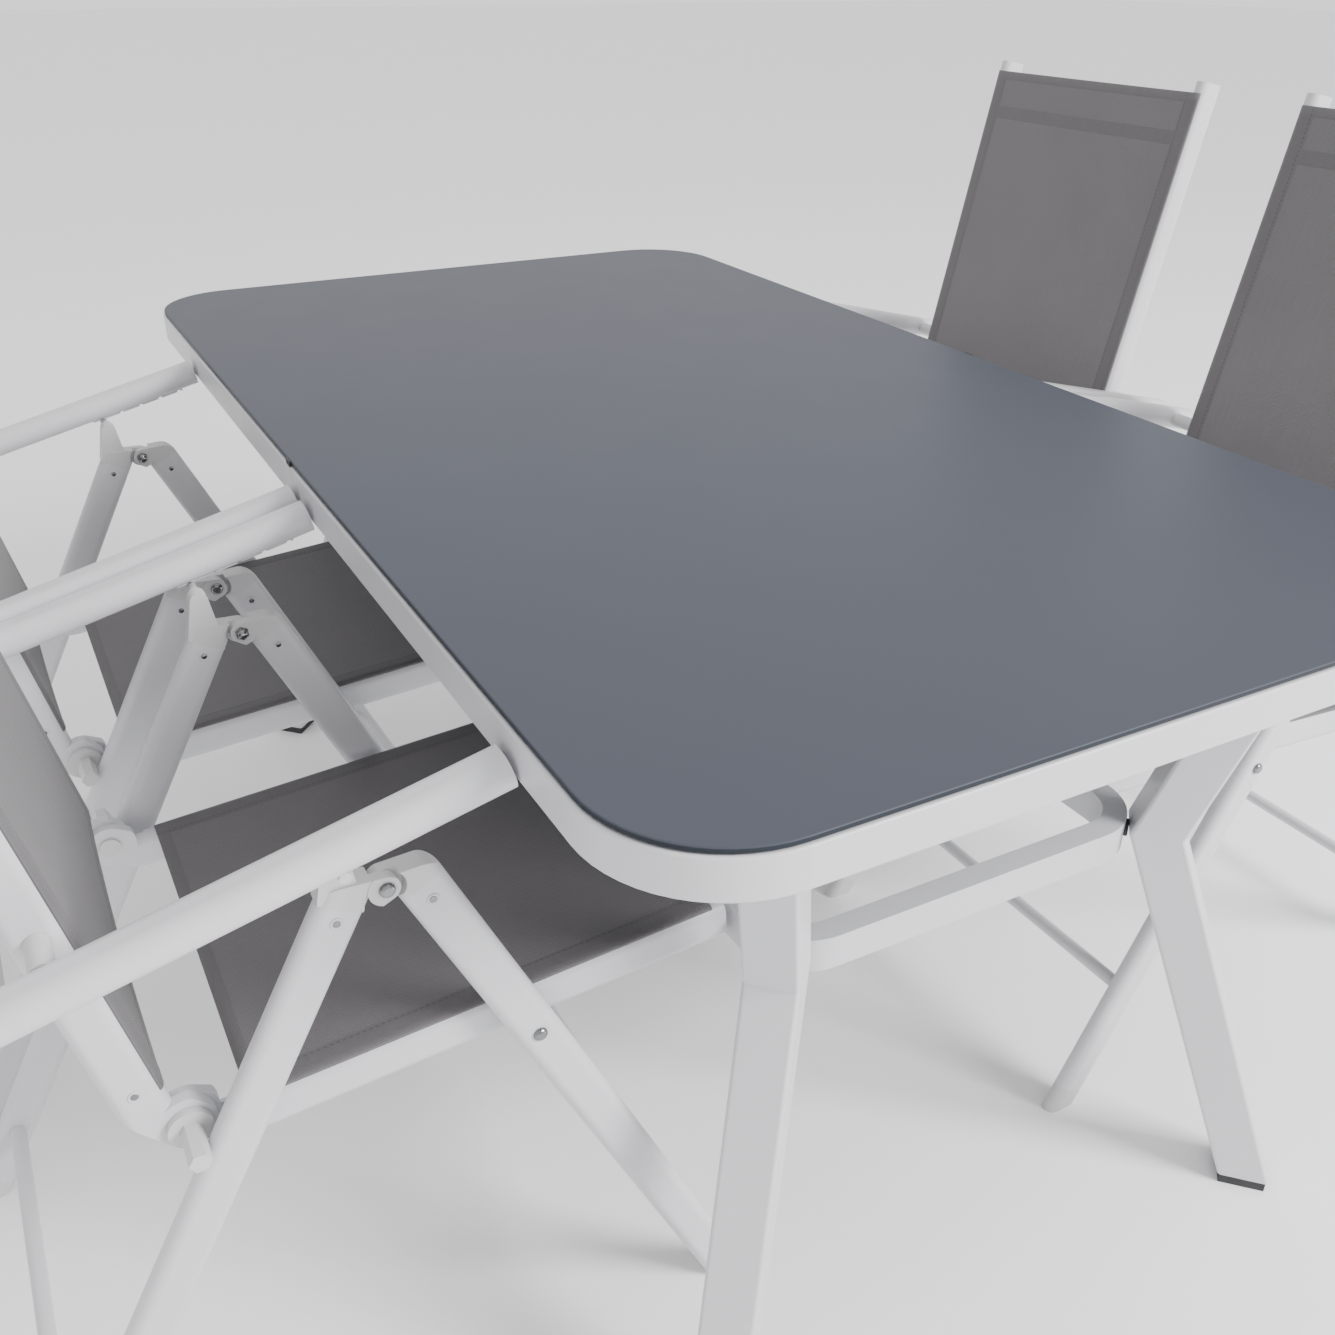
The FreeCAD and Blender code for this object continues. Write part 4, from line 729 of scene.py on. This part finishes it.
class PATIO_OT_pivot_screws(bpy.types.Operator):
    """Put cross-recessed heads and cap nuts on the pivot screws of every chair"""

    bl_idname = "patio.pivot_screws"
    bl_label = "Pivot screws"

    def execute(self, context):
        lines = side_lines(context.scene.patio_sling)
        head, nut = pan_head(), cap_nut()
        metal = bpy.data.materials["polished_chrome"]
        outer = reach("chair_a_pivot_screws", SIDEWAYS)[1] - SCREW_HEAD
        spots = []
        for number, key in enumerate(("hinge", "seat_pivot")):
            inner = LEG_INNER if key == "hinge" else RAIL_INNER
            stem = shaft(outer - inner)
            for side in (-1.0, 1.0):
                spin = math.radians(20.0 + 35.0 * number + 15.0 * side)
                outside = lines[key] + SIDEWAYS * side * outer
                inside = lines[key] + SIDEWAYS * side * inner
                spots.append((head, facing(outside, SIDEWAYS * side, spin)))
                spots.append((stem, facing(outside, SIDEWAYS * side)))
                spots.append((nut, facing(inside, SIDEWAYS * -side, spin)))
        for chair in CHAIRS:
            name = chair + "_screw_set"
            mesh = store(join_copies(spots), name)
            mesh.transform(seat_of(chair))
            screws = make_object(name, mesh, chair + "_front_legs", metal, False)
            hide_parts(chair + "_pivot_screws")
        return {"FINISHED"}


class PATIO_OT_sunk_screws(bpy.types.Operator):
    """Put the sunk fixing screws beside the hinge fittings and the hubs"""

    bl_idname = "patio.sunk_screws"
    bl_label = "Sunk screws"

    def execute(self, context):
        lines = side_lines(context.scene.patio_sling)
        ring, screw = sunk_ring(), sunk_screw()
        metal = bpy.data.materials["polished_chrome"]
        coat = bpy.data.materials["powder_coat"]
        front_side = Vector((-lines["front"].z, 0.0, lines["front"].x))
        rear_side = Vector((lines["rear"].z, 0.0, -lines["rear"].x))
        seat_down = Vector((lines["seat"].z, 0.0, -lines["seat"].x))
        back_rear = Vector((-lines["back"].z, 0.0, lines["back"].x))
        groups = {
            "front_legs": (lines["hinge"] + front_side * FRONT_OFFSET + lines["front"] * SCREW_DROP,
                           LEG_OUTER, LEG_INNER),
            "rear_legs": (lines["hinge"] + rear_side * REAR_OFFSET + lines["rear"] * SCREW_DROP,
                          LEG_OUTER, LEG_INNER),
            "seat": (lines["recline"] + seat_down * SEAT_OFFSET + lines["seat"] * RAIL_SCREW,
                     RAIL_OUTER, RAIL_INNER),
            "back": (lines["recline"] + back_rear * BACK_OFFSET + lines["back"] * RAIL_SCREW,
                     RAIL_OUTER, RAIL_INNER),
        }
        for body, (centre, outer, inner) in groups.items():
            spots = []
            for side in (-1.0, 1.0):
                spots.append((centre + SIDEWAYS * side * outer, SIDEWAYS * side, 0.4 * side))
                spots.append((centre + SIDEWAYS * side * inner, SIDEWAYS * -side, 0.9 * side))
            for chair in CHAIRS:
                name = "%s_%s" % (chair, body)
                spread(name + "_sunk_rings", ring, spots, chair, name, coat)
                # The sunk heads take the dark chrome: painted shade for the throat of each countersunk hole
                spread(name + "_sunk_screws", screw, spots, chair, name, metal)
        return {"FINISHED"}


# ------------------------------------------------------------------ finishes
class PATIO_OT_finishes(bpy.types.Operator):
    """Give every carried-over solid its finish"""

    bl_idname = "patio.finishes"
    bl_label = "Finishes"

    def execute(self, context):
        finish = context.scene.patio_finish
        made = {
            "white_coat": coated("powder_coat", finish.coat, 0.36, 0.00005),
            "white_plastic": coated("moulded_plastic", finish.moulded, 0.42, 0.00003),
            "screw_chrome": chrome("polished_chrome"),
            "dark_rubber": rubber("dark_rubber"),
            "tinted_glass": satin_glass("satin_glass", finish.glass, finish.glass_edge),
            "mesh_fabric": rubber("hidden_panel"),
        }
        slots = {s["node"]: s["material_slot"] for s in frame["record"]["subparts"]}
        for name, solid in frame["nodes"].items():
            solid.data.materials.clear()
            solid.data.materials.append(made[slots[name]])
        return {"FINISHED"}


# ------------------------------------------------------------------ stage
def soft_light(name, location, target, side, power):
    """A square area light that looks at a target."""
    data = bpy.data.lights.new(name, "AREA")
    data.shape = "RECTANGLE"
    data.size = data.size_y = side
    data.energy = power
    lamp = bpy.data.objects.new(name, data)
    bpy.context.scene.collection.objects.link(lamp)
    lamp.location = location
    aim = Vector(target) - Vector(location)
    lamp.rotation_mode = "QUATERNION"
    lamp.rotation_quaternion = aim.to_track_quat("-Z", "Y")


class PATIO_OT_stage(bpy.types.Operator):
    """Lay the floor and set the lights and the camera"""

    bl_idname = "patio.stage"
    bl_label = "Stage"

    def execute(self, context):
        stage = context.scene.patio_stage
        bm = bmesh.new()
        bmesh.ops.create_grid(bm, x_segments=1, y_segments=1, size=stage.floor_reach)
        mesh = bpy.data.meshes.new("floor")
        bm.to_mesh(mesh)
        bm.free()
        floor = bpy.data.objects.new("floor", mesh)
        context.scene.collection.objects.link(floor)
        graph = Graph("pale_floor")
        graph.color(graph.mix(graph.noise(graph.place(), 3.0), (0.93, 0.93, 0.935, 1.0),
                              (0.95, 0.95, 0.955, 1.0)))
        graph.set(Roughness=0.9, Specular_IOR_Level=0.1)
        mesh.materials.append(graph.material)

        world = bpy.data.worlds.new("soft_surround")
        world.use_nodes = True
        surround = world.node_tree.nodes["Background"].inputs
        surround["Color"].default_value = (1.0, 1.0, 1.0, 1.0)
        surround["Strength"].default_value = 1.3
        context.scene.world = world

        soft_light("key", (2.6, -3.8, 3.2), (0.0, 0.0, 0.4), 1.8, 420.0)

        data = bpy.data.cameras.new("camera")
        data.sensor_width = 36.0
        data.lens = stage.lens
        data.clip_start = 0.05
        camera = bpy.data.objects.new("camera", data)
        context.scene.collection.objects.link(camera)
        camera.location = stage.eye
        camera.rotation_mode = "QUATERNION"
        turn = Vector(stage.heading).to_track_quat("-Z", "Y")
        camera.rotation_quaternion = turn @ Matrix.Rotation(stage.roll, 3, "Z").to_quaternion()
        context.scene.camera = camera
        return {"FINISHED"}


class PATIO_PT_panel(bpy.types.Panel):
    """Everything that dresses the patio set"""

    bl_label = "Patio Set"
    bl_idname = "PATIO_PT_panel"
    bl_space_type = "VIEW_3D"
    bl_region_type = "UI"
    bl_category = "Patio Set"

    def draw(self, context):
        for group in (context.scene.patio_finish, context.scene.patio_sling,
                      context.scene.patio_stage):
            box = self.layout.box()
            for key in group.bl_rna.properties.keys():
                if key not in ("rna_type", "name"):
                    box.prop(group, key)
        for operator in OPERATORS:
            self.layout.operator(operator.bl_idname)


OPERATORS = (PATIO_OT_finishes, PATIO_OT_seat_slings, PATIO_OT_back_slings,
             PATIO_OT_pivot_screws, PATIO_OT_sunk_screws, PATIO_OT_stage)
GROUPS = (FinishSettings, SlingSettings, StageSettings)


def register():
    for cls in GROUPS + OPERATORS + (PATIO_PT_panel,):
        bpy.utils.register_class(cls)
    bpy.types.Scene.patio_finish = bpy.props.PointerProperty(type=FinishSettings)
    bpy.types.Scene.patio_sling = bpy.props.PointerProperty(type=SlingSettings)
    bpy.types.Scene.patio_stage = bpy.props.PointerProperty(type=StageSettings)


def unregister():
    del bpy.types.Scene.patio_stage
    del bpy.types.Scene.patio_sling
    del bpy.types.Scene.patio_finish
    for cls in reversed(GROUPS + OPERATORS + (PATIO_PT_panel,)):
        bpy.utils.unregister_class(cls)


def main():
    register()
    bpy.ops.patio.finishes()
    bpy.ops.patio.seat_slings()
    bpy.ops.patio.back_slings()
    bpy.ops.patio.pivot_screws()
    bpy.ops.patio.sunk_screws()
    bpy.ops.patio.stage()


if __name__ == "__main__":
    main()
